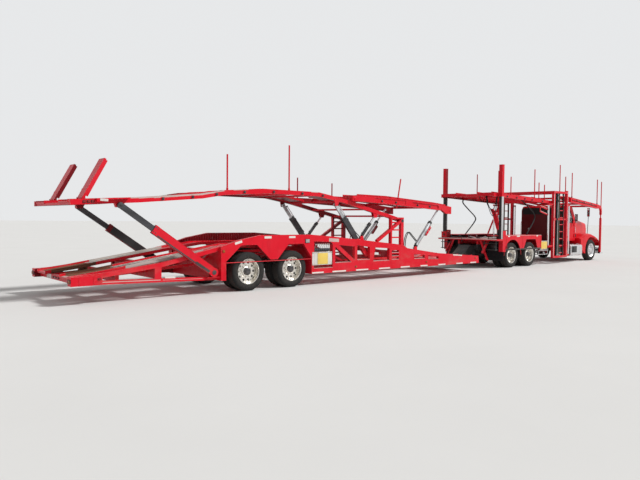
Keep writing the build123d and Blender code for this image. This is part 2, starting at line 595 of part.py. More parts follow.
def hood_section(u, half, low, high, corner):
    """A section across the hood: flat sides and a rounded top."""
    place = Plane(origin=(u, 0, 0), x_dir=(0, 1, 0), z_dir=(1, 0, 0))
    with BuildSketch(place) as sketch:
        with BuildLine():
            Line((-half, low), (half, low))
            Line((half, low), (half, high - corner))
            RadiusArc((half, high - corner), (half - corner, high), -corner)
            Line((half - corner, high), (-half + corner, high))
            RadiusArc((-half + corner, high), (-half, high - corner), -corner)
            Line((-half, high - corner), (-half, low))
        make_face()
    return sketch.sketch.faces()[0]


HOOD_FRONT = 19380
hood = loft([hood_section(17350, 900, 1010, 1900, 190), hood_section(HOOD_FRONT, 520, 1010, 1680, 150)])
hollow = loft([hood_section(17340, 876, 980, 1876, 170),
               hood_section(HOOD_FRONT - 20, 496, 980, 1652, 130)])
hood -= hollow
hood -= box(17300, HOOD_FRONT - 40, -1200, 1200, 900, 1012)
hood += box(HOOD_FRONT - 28, HOOD_FRONT + 30, -520, 520, 680, 1440)
hood -= box(HOOD_FRONT - 40, HOOD_FRONT + 60, -430, 430, 720, 1390)
# Fenders: a crown that follows the tyre, with an outer face and a low rear skirt
ARCH_R = 585
FENDER_Y = (560, 1190)
CROWN_Y = 1110
FENDER = [(17430, 700), (17560, 490), (17860, 330), (17960, 330), (19420, 650), (19400, 790),
          (19250, 925), (19120, 1000), (18897, 1094), (18500, 1185), (18156, 1203), (17900, 1180),
          (17700, 1090), (17430, 1000)]
FENDER_OUTSIDE = [(17450, 700), (17575, 490), (17860, 330), (17960, 330), (19385, 650), (19365, 775),
                  (19225, 885), (19095, 955), (18875, 1049), (18490, 1138), (18156, 1156),
                  (17920, 1134), (17720, 1046), (17450, 960)]
FENDER_INSIDE = [(17465, 712), (17590, 512), (17880, 365), (17960, 365), (19320, 640), (19340, 740),
                 (19205, 855), (19075, 925), (18862, 1012), (18490, 1105), (18156, 1122), (17935, 1100),
                 (17735, 1012), (17465, 928)]
WIDE_ARCH = [(18475, 1025), (18740, 1015), (18973, 950), (19150, 860), (19259, 765), (19320, 650),
             (19320, 400), (18475, 400)]


def xz_face(points, y):
    return Pos(0, y, 0) * make_face(Plane.XZ * Polyline(*points, close=True))


fender = slab(FENDER, FENDER_Y[0], CROWN_Y)
fender += loft([xz_face(FENDER, CROWN_Y), xz_face(FENDER_OUTSIDE, FENDER_Y[1])], ruled=True)
fender -= pin(STEER_AXLE, TYRE_R, ARCH_R, FENDER_Y[0] - 10, FENDER_Y[1] + 10)
fender -= slab(WIDE_ARCH, FENDER_Y[0] - 10, FENDER_Y[1] + 10)
fender -= slab(FENDER_INSIDE, FENDER_Y[0] - 10, FENDER_Y[1] - 30)
# Mirrors on stalks that stand on the crowns
fender += tube((18250, 1100, 1170), (18275, 1125, 1990), 12)
fender += box(18250, 18295, 1075, 1172, 1960, 2340)
hood += both(fender)
inner_wall = box(17400, HOOD_FRONT, 560, 640, 1000, 1120)
hood += both(inner_wall - pin(STEER_AXLE, TYRE_R, ARCH_R, 500, 700) - slab(WIDE_ARCH, 500, 700))
# Eyes of the tilt hinge, round the pins on the frame's ends
eye = pin(*HOOD_PIVOT, 34, 450, 478) + box(19200, HOOD_FRONT + 30, 450, 478, 650, 700)
hood += both(eye)
hood -= both(pin(*HOOD_PIVOT, 19, 440, 490))
save("hood", hood)

grille = None
for index in range(13):
    y = -408 + index * 68
    bar = box(HOOD_FRONT + 5, HOOD_FRONT + 38, y - 10, y + 10, 722, 1388)
    grille = bar if grille is None else grille + bar
for low, high in ((722, 760), (1040, 1070), (1350, 1388)):
    grille += box(HOOD_FRONT, HOOD_FRONT + 14, -428, 428, low, high)
save("grille", grille)

lamps = slab([(19423, 662), (19437, 662), (19420, 782), (19404, 782)], 800, 1050)
save("headlamps", both(lamps))

# Engine and gearbox, one plain block
save("engine_block", box(17450, 18950, -330, 330, 700, 1400))

# Front bumper
bumper = slab([(19325, 290), (19325, 560), (FRONT_END, 560), (FRONT_END, 330), (19400, 290)], -1200, 1200)
bumper += both(box(19155, 19330, *RAIL_Y, 400, 560))
bumper += both(box(19165, 19420, 1200, HALF_WIDTH, 290, 345))
for y in (-520, 520):
    bumper -= tube((19375, y, 200), (19375, y, 600), 16)
save("front_bumper", bumper)

# Fuel tanks and the steps by the doors
TANK_Y = (760, 1268)
tank = box(16330, 17400, *TANK_Y, 268, 742)
long_edges = tank.edges().filter_by(Axis.X)
tank = fillet(long_edges, 95)
for station in (16560, 17180):
    tank += box(station - 40, station + 40, RAIL_Y[1], 760, 580, 660)
save("fuel_tanks", both(tank))

# Fender boxes over the driven wheels
BOX_TOP = 1190
PILLAR_U = (10978, 11180)
BOX_END = 13780
skirt = slab([(PILLAR_U[1], 650), (PILLAR_U[1], BOX_TOP), (BOX_END, BOX_TOP), (BOX_END, 650)], 1268, 1292)
skirt -= pin(DRIVE_AXLES[0], TYRE_R, 575, 1250, 1300)
skirt -= slab([(12424, 640), (12640, 1030), (13330, 1030), (13498, 640)], 1250, 1300)
skirt += tube((PILLAR_U[1] - 10, GUARD_Y, 665), (BOX_END - 40, GUARD_Y, 665), GUARD_R)
skirt += box(PILLAR_U[1], BOX_END, 640, 1292, BOX_TOP - 24, BOX_TOP)
skirt += box(PILLAR_U[0], PILLAR_U[1], 640, 1131, BOX_TOP - 24, BOX_TOP)
skirt += box(BOX_END - 24, BOX_END, 640, 1292, 650, BOX_TOP)
skirt += box(12296, 12320, 640, 1292, 1000, BOX_TOP)
# The pillar that the rear post stands behind
skirt += box(*PILLAR_U, 1130, 1290, 600, 1360)
save("drive_fenders", both(skirt))

# Lower deck of the tractor
LOWER_TOP = 1060
BAY_TOP = LOWER_TOP + 8
lower = box(10600, PILLAR_U[0], -1290, 1290, LOWER_TOP - 60, LOWER_TOP)
lower += box(10600, 13900, -640, 640, LOWER_TOP - 30, BAY_TOP)
for station in (11300, 12300, 13300):
    lower += box(station - 40, station + 40, -600, 600, CHASSIS_TOP, LOWER_TOP - 25)
lower += both(box(10700, 10900, 370, 440, CHASSIS_TOP, LOWER_TOP - 50))
lower += both(strut((10830, 1010), (10440, 560), 70, 760, 820))
save("tractor_lower_deck", lower)

# Rear posts of the tractor, which its upper deck slides on, each with a plated guide rod
POST_U = 10925
ROD_U = 11040
rear_posts = box(POST_U - 50, POST_U + 50, 1175, 1285, LOWER_TOP, 3200)
rear_posts += tube((ROD_U, 1230, 1360), (ROD_U, 1230, 2640), 28)
save("deck_posts", both(rear_posts))

# Upper deck of the tractor, with the sleeves that ride on the posts
TOWER_LANE = (1185, 1290)
UPPER_TOP = [(10560, 2735), (11125, 2715), (14400, 2582)]
upper = both(rail([(10560, 2735), (11125, 2715), (14700, 2570)], 130, 1070, 1150))
plank = rail([(u, z + 10) for u, z in UPPER_TOP], RUNWAY_THICKNESS, *RUNWAY)
plank += rail([(u, z + 40) for u, z in UPPER_TOP], LIP, RUNWAY[0] - 10, RUNWAY[0])
plank += rail([(u, z + 40) for u, z in UPPER_TOP], LIP, RUNWAY[1], RUNWAY[1] + 10)
upper += both(plank)
for station in (10600, 11020, 11900, 12800, 13700, 14650):
    z = height_at(UPPER_TOP, station)
    upper += box(station - 40, station + 40, -1075, 1075, z - 110, z - 25)
sleeve = box(POST_U - 66, POST_U + 66, 1160, HALF_WIDTH, 2600, 3740)
sleeve -= box(POST_U - 57, POST_U + 57, 1168, 1291, 2590, 3710)
sleeve += box(POST_U - 60, POST_U + 60, 1145, 1165, 2600, 2710)
sleeve += box(POST_U + 60, ROD_U + 45, 1190, 1270, 2660, 2700)
sleeve -= tube((ROD_U, 1230, 2590), (ROD_U, 1230, 2710), 34)
upper += both(sleeve)
upper += both(box(14640, 14860, 1070, TOWER_LANE[0] - 6, 2430, 2570))
# Station, top, which side (1 left, -1 right)
TRACTOR_STAKES = [(11760, 3366, -1), (12920, 3640, 1), (13500, 3750, -1), (13840, 3253, -1),
                  (14280, 3187, -1), (14530, 3895, 1)]
for station, top, which in TRACTOR_STAKES:
    foot = height_at([(10560, 2735), (11125, 2715), (14700, 2570)], station) - 30
    upper += on_side(tube((station, 1110, foot), (station, 1110, top), STAKE_R), which)
save("tractor_upper_deck", upper)

# Lift towers behind the cab, with their ladders
TOWER_TOP = 2960
tower = box(14755, 14865, *TOWER_LANE, 240, TOWER_TOP)
tower += box(15845, 15955, *TOWER_LANE, 240, TOWER_TOP + 40)
tower += tube((14400, 1240, 700), (14400, 1240, 2440), 32)
tower += box(14370, 14760, 1215, 1265, 700, 760) + box(14370, 14760, 1215, 1265, 2380, 2440)
tower += tube((16150, 1240, 300), (16150, 1240, 2440), 32)
tower += box(15950, 16180, 1215, 1265, 300, 360) + box(15950, 16180, 1215, 1265, 2380, 2440)
for station in (15250, 15600):
    tower += box(station - 25, station + 25, 1225, 1275, 300, TOWER_TOP)
for step in range(9):
    tower += box(15270, 15580, 1235, 1265, 420 + 290 * step, 450 + 290 * step)
tower += box(14755, 15955, *TOWER_LANE, 240, 320) + box(14755, 15955, *TOWER_LANE, TOWER_TOP - 90, TOWER_TOP)
tower += box(14755, 15955, 1200, 1275, 1780, 1850)
tower += strut((14850, 2480), (15240, 2880), 40, 1225, 1265)
tower += strut((14850, 2880), (15240, 2480), 40, 1225, 1265)
for station in (14810, 15900):
    tower += box(station - 55, station + 55, RAIL_Y[1], TOWER_LANE[0] + 5, 640, 760)
towers = both(tower)
towers += box(14760, 14860, -TOWER_LANE[0] - 5, TOWER_LANE[0] + 5, TOWER_TOP - 80, TOWER_TOP)
towers += box(15850, 15950, -TOWER_LANE[0] - 5, TOWER_LANE[0] + 5, TOWER_TOP - 80, TOWER_TOP)
# A lift cylinder stands in each tower, and a brace holds the far one
towers += both(tube((15060, 1226, 310), (15060, 1226, TOWER_TOP - 60), 62))
towers += strut((13900, 1060), (14830, 2470), 50, 1212, 1258)
for station, top in ((15300, 4040), (15800, 3590)):
    towers += on_side(tube((station, 1240, TOWER_TOP - 20), (station, 1240, top), STAKE_R), -1)
save("lift_towers", towers)

# Rack over the cab and hood, with the posts that stand on the bumper

RACK_TOP = [(15960, 2760), (16550, 2718), (18778, 2521), (19080, 2470)]
rack = slab([(16200, 2745), (18778, 2521), (19080, 2470), (19230, 2380), (19275, 2250), (19275, 2050),
             (19185, 2050), (19185, 2230), (19120, 2330), (18778, 2320), (16200, 2530)], 1212, 1290)
rack -= slab([(16300, 2660), (18700, 2452), (18700, 2400), (16300, 2606)], 1200, 1300)
rack += box(15970, 16240, 1120, 1175, 2560, 2745) + box(16200, 16240, 1120, 1290, 2560, 2745)
post = box(19210, 19250, 1232, 1272, 1100, 2100)
rack = both(rack + post)
plank = rail([(16180, 2790), (19150, 2510)], RUNWAY_THICKNESS, *RUNWAY)
plank += rail([(16180, 2820), (19150, 2540)], LIP, RUNWAY[0] - 10, RUNWAY[0])
plank += rail([(16180, 2820), (19150, 2540)], LIP, RUNWAY[1], RUNWAY[1] + 10)
rack += both(plank)
for station in (16220, 17200, 18200, 19120):
    z = height_at([(16180, 2790), (19150, 2510)], station)
    rack += box(station - 35, station + 35, -1216, 1216, z - 110, z - 30)
for station, top in ((16360, 3780), (18820, 3630), (19256, 3550)):
    foot = height_at(RACK_TOP + [(19230, 2400), (19275, 2300)], station) - 60
    rack += on_side(tube((station, 1250, foot), (station, 1250, top), STAKE_R), -1)
save("head_rack", rack)

post = box(19190, 19270, 1214, 1290, 345, 1900) - box(19203, 19257, 1225, 1279, 380, 1910)
save("rack_posts", both(post))
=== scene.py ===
"""Looks of the articulated car transporter. Metres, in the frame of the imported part."""
import math
from functools import cache, partial

import bmesh
import bpy
from mathutils import Matrix, Vector


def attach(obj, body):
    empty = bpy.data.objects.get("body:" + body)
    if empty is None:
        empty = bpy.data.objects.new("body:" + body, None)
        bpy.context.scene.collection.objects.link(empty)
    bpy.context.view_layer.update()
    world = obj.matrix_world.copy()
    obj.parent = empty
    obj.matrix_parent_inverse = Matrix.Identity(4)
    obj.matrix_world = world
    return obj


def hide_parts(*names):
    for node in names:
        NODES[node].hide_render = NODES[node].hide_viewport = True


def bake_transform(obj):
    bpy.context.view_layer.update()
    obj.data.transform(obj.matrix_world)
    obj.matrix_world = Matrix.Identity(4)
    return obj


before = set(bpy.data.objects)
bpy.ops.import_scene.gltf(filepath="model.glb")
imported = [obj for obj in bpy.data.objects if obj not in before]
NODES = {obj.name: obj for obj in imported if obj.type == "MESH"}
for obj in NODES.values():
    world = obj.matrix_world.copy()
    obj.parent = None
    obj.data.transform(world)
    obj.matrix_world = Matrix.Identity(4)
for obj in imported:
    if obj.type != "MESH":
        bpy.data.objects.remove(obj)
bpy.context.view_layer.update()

# Stations u are metres ahead of the trailer's rear axle, as in part.py
MID_U = 7.690
SIDE_Y = 1.295
SIDES = (("left", 1), ("right", -1))


def at(u, y, z):
    return Vector((u - MID_U, y, z))


def link(name, data):
    made = bpy.data.objects.new(name, data)
    bpy.context.scene.collection.objects.link(made)
    return made


def add_node(tree, kind, inputs=None, **settings):
    """A new node. Each input gets an output to link to, or a number, a vector or a colour."""
    made = tree.nodes.new(kind)
    for key, value in settings.items():
        setattr(made, key, value)
    for key, value in (inputs or {}).items():
        feed(tree, made.inputs[key], value)
    return made


def feed(tree, socket, value):
    if hasattr(value, "is_linked"):
        tree.links.new(value, socket)
    else:
        socket.default_value = (*value, 1.0) if socket.type == "RGBA" else value


# Finishes

class Finish:
    """A procedural material. Its patterns are laid out in metres and move with the piece."""

    def __init__(self, name, **sockets):
        self.material = bpy.data.materials.new(name)
        self.material.use_nodes = True
        self.tree = self.material.node_tree
        self.shader = self.tree.nodes["Principled BSDF"]
        for key, value in sockets.items():
            self.shader.inputs[key.replace("_", " ")].default_value = value
        self.coordinates = self.node("ShaderNodeTexCoord").outputs
        self.normal = None

    def node(self, kind, inputs=None, **settings):
        return add_node(self.tree, kind, inputs, **settings)

    def math(self, operation, first, second=0.5, clamp=True):
        inputs = {0: first, 1: second}
        return self.node("ShaderNodeMath", inputs, operation=operation, use_clamp=clamp).outputs[0]

    def times(self, first, second, clamp=True):
        return self.math("MULTIPLY", first, second, clamp)

    def most(self, first, second):
        return self.math("MAXIMUM", first, second)

    @cache
    def axes(self, kind="Object"):
        """X, Y and Z of the place, or of the normal."""
        return self.node("ShaderNodeSeparateXYZ", {0: self.coordinates[kind]}).outputs

    @cache
    def noise(self, scale, detail=4.0, stretch=(1, 1, 1), rough=0.6):
        """Noise, its spots drawn out by stretch along X, Y and Z."""
        mapping = self.node("ShaderNodeMapping", {"Scale": [1 / s for s in stretch],
                                                  "Vector": self.coordinates["Object"]})
        return self.node("ShaderNodeTexNoise", {"Scale": scale, "Detail": detail, "Roughness": rough,
                                                "Vector": mapping.outputs["Vector"]}).outputs["Fac"]

    def spots(self, low, high, *noise):
        """Where the noise goes from low to high."""
        return self.band(self.noise(*noise), low, high)

    def band(self, value, low, high):
        """0 below low, 1 above high; turned round when low is over high."""
        ends = {"From Min": min(low, high), "From Max": max(low, high),
                "To Min": float(low > high), "To Max": float(low < high)}
        return self.node("ShaderNodeMapRange", {"Value": value, **ends}, interpolation_type="SMOOTHSTEP",
                         clamp=True).outputs["Result"]

    def ramp(self, factor, first, second):
        return self.node("ShaderNodeMapRange", {"Value": factor, "To Min": first, "To Max": second},
                         clamp=True).outputs["Result"]

    def mix(self, factor, first, second, most=None):
        """From the first colour to the second, or only part of the way where most is given."""
        if most is not None:
            factor = self.ramp(factor, 0.0, most)
        return self.node("ShaderNodeMix", {"Factor": factor, 6: first, 7: second}, data_type="RGBA",
                         clamp_factor=True).outputs[2]

    @cache
    def facing(self, low=0.55, high=0.85):
        """How far the surface faces up, 0 to 1, or down where low and high are negative."""
        return self.band(self.axes("Normal")["Z"], low, high)

    def inward(self):
        """1 on faces near the outside of the vehicle that look towards its middle."""
        return self.band(self.times(self.axes("Normal")["Y"], self.axes()["Y"], False), -0.35, -0.75)

    def within(self, u=None, y=None, z=None, soft=0.004):
        """1 between two stations, two distances from the middle plane and two heights."""
        inside = None
        for axis, span, shift in (("X", u, MID_U), ("Y", y, 0.0), ("Z", z, 0.0)):
            if span is None:
                continue
            value = self.axes()[axis]
            if axis == "Y":
                value = self.math("ABSOLUTE", value, clamp=False)
            low, high = span[0] - shift, span[1] - shift
            part = self.times(self.band(value, low - soft, low + soft),
                              self.band(value, high + soft, high - soft))
            inside = part if inside is None else self.times(inside, part)
        return inside

    def punched(self, pitch=0.105, radius=0.022):
        """1 inside the rows of round holes that a runway is punched with."""
        squares = []
        for axis in "XY":
            cell = self.math("FRACT", self.times(self.axes()[axis], 1 / pitch, False), clamp=False)
            off = self.math("SUBTRACT", cell, 0.5, clamp=False)
            squares.append(self.times(off, off))
        edge = (radius / pitch) ** 2
        hole = self.band(self.math("ADD", *squares), edge + 0.012, edge - 0.012)
        return self.times(self.times(hole, self.within(y=(0.52, 1.01))), self.facing())

    @cache
    def edges(self, radius=0.012):
        """1 near the sharp edges of the solid."""
        bevel = self.node("ShaderNodeBevel", {"Radius": radius}, samples=4).outputs["Normal"]
        flat = self.node("ShaderNodeNewGeometry").outputs["Normal"]
        dot = self.node("ShaderNodeVectorMath", {0: bevel, 1: flat}, operation="DOT_PRODUCT")
        return self.band(dot.outputs["Value"], 0.985, 0.80)

    def dusty(self, scale, stretch, start, top, high_up, low_down):
        """Dust in patches, more of it towards the ground from the height top on."""
        grime = self.spots(start, 0.70, scale, 8, (stretch, 1, 1), 0.7)
        return self.times(grime, self.ramp(self.band(self.axes()["Z"], top, 0.2), high_up, low_down))

    def bump(self, height, strength, distance):
        inputs = {"Strength": strength, "Distance": distance, "Height": height}
        if self.normal is not None:
            inputs["Normal"] = self.normal
        self.normal = self.node("ShaderNodeBump", inputs).outputs["Normal"]

    def done(self, colour, roughness=None, metallic=None, regions=()):
        """Links the shader up. Each region has a colour, a metallic value, a roughness and its place."""
        for tint, metal, rough, spot in regions:
            inside = self.within(**spot)
            colour = self.mix(inside, colour, tint)
            roughness = self.ramp(inside, roughness, rough)
            metallic = self.ramp(inside, metallic or 0.0, metal)
        for key, value in (("Base Color", colour), ("Roughness", roughness), ("Metallic", metallic),
                           ("Normal", self.normal)):
            if value is not None:
                feed(self.tree, self.shader.inputs[key], value)
        return self.material


DUST = (0.36, 0.30, 0.24)
RUST = (0.105, 0.035, 0.016)
BARE = (0.50, 0.47, 0.44)
BLACK = (0.014, 0.012, 0.012)
PLATED = (0.80, 0.80, 0.81)
RED = (0.70, 0.006, 0.020)
RED_FADED = (0.74, 0.028, 0.048)
RED_DEEP = (0.40, 0.004, 0.012)
# Painted shade: the dark red of faces that look inwards
RED_SHADE = (0.075, 0.002, 0.005)
# Painted shade: the near black of faces that look down
UNDERSIDE_SHADE = (0.060, 0.006, 0.008)
PALE = ((0.60, 0.57, 0.53), (0.40, 0.35, 0.31))


def scaled(colour, factor):
    return [min(1.0, part * factor) for part in colour]


def paint(name, base=RED, faded=RED_FADED, wear=0.3, top_wear=0.0, rusty=0.0, dust=0.5, gloss=0.34,
          shade=0.0, pale=(), holes=False, regions=()):
    """Enamel that fades in patches, chips at its edges and gathers dust low down.

    shade is the strength of the painted shade on what looks inwards or down, pale lists stretches (from, to,
    how much) that traffic has worn to plate, holes punches the runways, and regions are as in Finish.done."""
    f = Finish(name, Specular_IOR_Level=0.16, Coat_Weight=0.05 * (1 - wear), Coat_Roughness=0.2)
    colour = f.mix(f.spots(0.42, 0.72, 0.9, 5), base, faded, 0.45 + 0.3 * wear)
    colour = f.mix(f.spots(0.50, 0.78, 7.0, 5, (1.0, 1.0, 5.0)), colour, RED_DEEP, 0.35)
    if shade:
        # Painted shade: inward faces darken towards a dark red
        colour = f.mix(f.inward(), colour, RED_SHADE, shade)
        # Painted shade: faces that look down darken towards near black
        colour = f.mix(f.facing(-0.50, -0.85), colour, UNDERSIDE_SHADE, shade)
    dusty = f.dusty(2.3, 2.0, 0.48, 1.1, 0.08 * dust, 0.45 * dust)
    colour = f.mix(dusty, colour, DUST)
    fine = f.times(f.edges(), f.noise(38.0, 6, (1, 1, 1), 0.65))
    chips = f.most(f.band(fine, 0.62 - 0.22 * wear, 0.66 - 0.20 * wear),
                   f.spots(0.735 - 0.10 * wear, 0.75 - 0.10 * wear, 16.0, 9, (1.6, 1, 1), 0.75))
    colour = f.mix(chips, colour, f.mix(f.spots(0.42, 0.58, 9.0, 3), RUST, BARE))
    if top_wear:
        scuffs = f.noise(3.2, 9, (3.5, 1.0, 1.0), 0.78)
        for u0, u1, amount in pale:
            scuffs = f.math("ADD", scuffs, f.ramp(f.within(u=(u0, u1), soft=0.12), 0.0, amount))
        bare = f.times(f.facing(), f.band(scuffs, 0.62 - 0.2 * top_wear, 0.70 - 0.14 * top_wear))
        colour = f.mix(bare, colour, f.mix(f.spots(0.40, 0.60, 12.0, 6, (3, 1, 1)), *PALE))
        chips = f.most(chips, bare)
    if rusty:
        rust = f.spots(0.66 - 0.28 * rusty, 0.78 - 0.24 * rusty, 2.6, 8, (1.5, 1, 1), 0.72)
        colour = f.mix(rust, colour, f.mix(f.noise(30.0, 5), (0.16, 0.055, 0.02), (0.07, 0.028, 0.016)))
        chips = f.most(chips, rust)
    if holes:
        punched = f.punched()
        # Painted shade: the punched holes are near black for the shade inside them
        colour = f.mix(punched, colour, (0.010, 0.008, 0.008))
        f.bump(punched, -0.8, 0.012)
    f.bump(f.noise(60.0, 3), 0.05, 0.002)
    f.bump(chips, -0.35, 0.003)
    rough = f.most(f.ramp(chips, gloss, 0.78), f.ramp(dusty, gloss, 0.9))
    rough = f.math("ADD", rough, f.ramp(f.noise(5.0, 4), -0.06, 0.10))
    return f.done(colour, rough, regions=regions)


def steel(name, base, metallic, rough, rusty=0.2, dust=0.4, grain=(1, 1, 1), regions=()):
    """Bare or greased steel with streaks, rust freckles and dust."""
    f = Finish(name, Metallic=metallic)
    colour = f.mix(f.spots(0.35, 0.68, 5.0, 6, grain), scaled(base, 0.62), scaled(base, 1.28))
    freckles = f.spots(0.72 - 0.2 * rusty, 0.80 - 0.18 * rusty, 14.0, 8, (1, 1, 1.5), 0.7)
    colour = f.mix(freckles, colour, RUST)
    dusty = f.dusty(2.0, 1.5, 0.45, 1.0, 0.15 * dust, 0.7 * dust)
    colour = f.mix(dusty, colour, DUST)
    f.bump(f.noise(45.0, 5, grain), 0.12, 0.002)
    f.bump(freckles, 0.3, 0.002)
    roughness = f.most(f.ramp(freckles, rough, 0.85), f.ramp(dusty, rough, 0.9))
    roughness = f.math("ADD", roughness, f.ramp(f.noise(18.0, 5, grain), -0.08, 0.12))
    return f.done(colour, roughness, metallic, regions)


def bright(name, base, rough, smudge=0.25):
    """Chrome or polished aluminium: bright metal with smudges and water marks."""
    f = Finish(name, Metallic=1.0)
    marks = f.spots(0.45, 0.75, 8.0, 7, (1, 1, 3), 0.7)
    f.bump(f.noise(30.0, 4), 0.03, 0.002)
    return f.done(f.mix(marks, base, (0.30, 0.27, 0.24), smudge), f.ramp(marks, rough, rough + 0.3))


def rubber(name):
    """Tyre rubber round the object's own centre: dusty sidewalls and tread sipes."""
    f = Finish(name, Specular_IOR_Level=0.18)
    x, y, z = (f.axes()[axis] for axis in "XYZ")
    flat = f.node("ShaderNodeCombineXYZ", {"X": x, "Z": z}).outputs[0]
    distance = f.node("ShaderNodeVectorMath", {0: flat}, operation="LENGTH").outputs["Value"]
    turns = f.times(f.math("ARCTAN2", z, x, False), 62.0, False)
    wave = f.math("SINE", f.math("ADD", f.times(y, 60.0, False), turns, False), clamp=False)
    sipes = f.times(f.band(wave, 0.80, 0.95), f.band(distance, 0.440, 0.452))
    rings = f.math("SINE", f.ramp(distance, 0.0, 420.0), clamp=False)
    dusty = f.times(f.spots(0.30, 0.70, 6.0, 7, (1, 1, 1), 0.7), f.band(distance, 0.470, 0.33))
    colour = f.mix(f.noise(25.0, 5), (0.012, 0.012, 0.013), (0.030, 0.029, 0.028))
    colour = f.mix(dusty, colour, (0.20, 0.17, 0.14), 0.16)
    colour = f.mix(f.times(f.band(distance, 0.4565, 0.4605), 0.35), colour, (0.13, 0.11, 0.095))
    # Painted shade: the sipes are darkened for the shade in them
    colour = f.mix(sipes, colour, (0.008, 0.008, 0.008))
    f.bump(sipes, -1.0, 0.006)
    f.bump(f.band(rings, 0.3, 0.9), 0.25, 0.0012)
    f.bump(f.noise(70.0, 4), 0.2, 0.001)
    return f.done(colour, f.ramp(f.noise(10.0, 5), 0.62, 0.92))


def glass(name, base, rough=0.04, transmission=0.92):
    f = Finish(name, Transmission_Weight=transmission, IOR=1.45)
    marks = f.spots(0.5, 0.8, 4.0, 6)
    return f.done(f.mix(marks, base, scaled(base, 0.7), 0.3), f.ramp(marks, rough, rough + 0.12))


def plastic(name, base, rough=0.6, grain=180.0):
    f = Finish(name, Specular_IOR_Level=0.25)
    colour = f.mix(f.spots(0.35, 0.7, 4.0, 5), scaled(base, 0.75), scaled(base, 1.25))
    f.bump(f.noise(grain, 3), 0.25, 0.0008)
    return f.done(colour, f.ramp(f.noise(7.0, 4), rough - 0.1, rough + 0.15))


def sheet_paint(name, base, rusty=0.25, gloss=0.4):
    """Flat colour on plates and tapes, scratched and dirty at the edges."""
    f = Finish(name)
    colour = f.mix(f.spots(0.4, 0.75, 3.0, 6), base, scaled(base, 0.72), 0.5)
    specks = f.spots(0.74 - 0.1 * rusty, 0.78 - 0.1 * rusty, 26.0, 8, (2, 1, 1), 0.7)
    colour = f.mix(specks, colour, (0.16, 0.07, 0.04))
    dirty = f.times(f.edges(0.03), f.spots(0.4, 0.6, 12.0, 5))
    f.bump(specks, -0.2, 0.001)
    return f.done(f.mix(dirty, colour, (0.25, 0.18, 0.13), 0.5),
                  f.ramp(f.noise(6.0, 4), gloss - 0.08, gloss + 0.2))


def lens(name, base):
    f = Finish(name, Transmission_Weight=0.35, IOR=1.5, Roughness=0.12)
    cells = f.node("ShaderNodeTexVoronoi", {"Scale": 160.0, "Vector": f.coordinates["Object"]})
    f.bump(cells.outputs["Distance"], 0.4, 0.001)
    return f.done(f.mix(f.band(cells.outputs["Distance"], 0.1, 0.6), base, scaled(base, 0.6)))


# Regions of a node that look unlike the rest of it, as in Finish.done
MIRRORS = [(BLACK, 0.6, 0.30, {"y": (1.035, 1.300), "z": (1.215, 2.400)})]
# Painted shade: the cab's rear wall is a darker red, and near black at its top under the deck above
CAB_BACK_SHADE = [((0.110, 0.003, 0.006), 0.0, 0.34, {"u": (16.20, 16.262)}),
            (BLACK, 0.0, 0.40, {"u": (16.20, 16.272), "y": (0.0, 0.90), "z": (2.03, 2.34)})]
TOWER_PARTS = [(PLATED, 1.0, 0.14, {"u": (14.35, 14.45), "z": (0.765, 2.375)}),
               (PLATED, 1.0, 0.14, {"u": (16.10, 16.20), "z": (0.365, 2.375)}),
               (BLACK, 0.2, 0.45, {"u": (14.985, 15.135), "y": (1.10, 1.30), "z": (0.325, 2.865)}),
               (BLACK, 0.2, 0.50, {"u": (14.870, 15.240), "z": (2.430, 2.866)}),
               ((0.10, 0.075, 0.045), 0.1, 0.60, {"u": (15.220, 15.280), "y": (1.222, 1.280)}),
               (BLACK, 0.1, 0.50, {"u": (15.570, 15.630), "y": (1.222, 1.280)})]
POST_PARTS = [(BLACK, 0.2, 0.50, {"u": (10.80, 10.99), "y": (1.10, 1.279)})]
# Painted shade: dark grey on the inner faces of the rear arms
ARM_INNER_SHADE = [((0.045, 0.045, 0.046), 0.2, 0.45, {"u": (-2.36, -1.02), "y": (1.190, 1.2225)})]
GUARD_PARTS = [((0.05, 0.012, 0.012), 0.1, 0.55,
                {"u": (11.16, 13.75), "y": (1.10, 1.34), "z": (0.640, 0.690)})]
LIP_WORN = (0.52, 0.48, 0.44)
DECK_LIPS = [(LIP_WORN, 0.1, 0.60, {"u": (-3.05, -0.95), "y": (1.030, 1.062)}),
             (LIP_WORN, 0.1, 0.60, {"u": (-0.30, 0.25), "y": (1.030, 1.062)})]
FLOOR_LIPS = [((0.19, 0.085, 0.045), 0.1, 0.85,
               {"u": (-3.93, -3.02), "y": (0.500, 1.030), "z": (0.50, 0.68)}),
              (LIP_WORN, 0.1, 0.60, {"u": (-2.90, -1.10), "y": (1.030, 1.062)}),
              ((0.16, 0.075, 0.045), 0.1, 0.85, {"u": (-3.90, -2.95), "y": (0.460, 0.485)})]

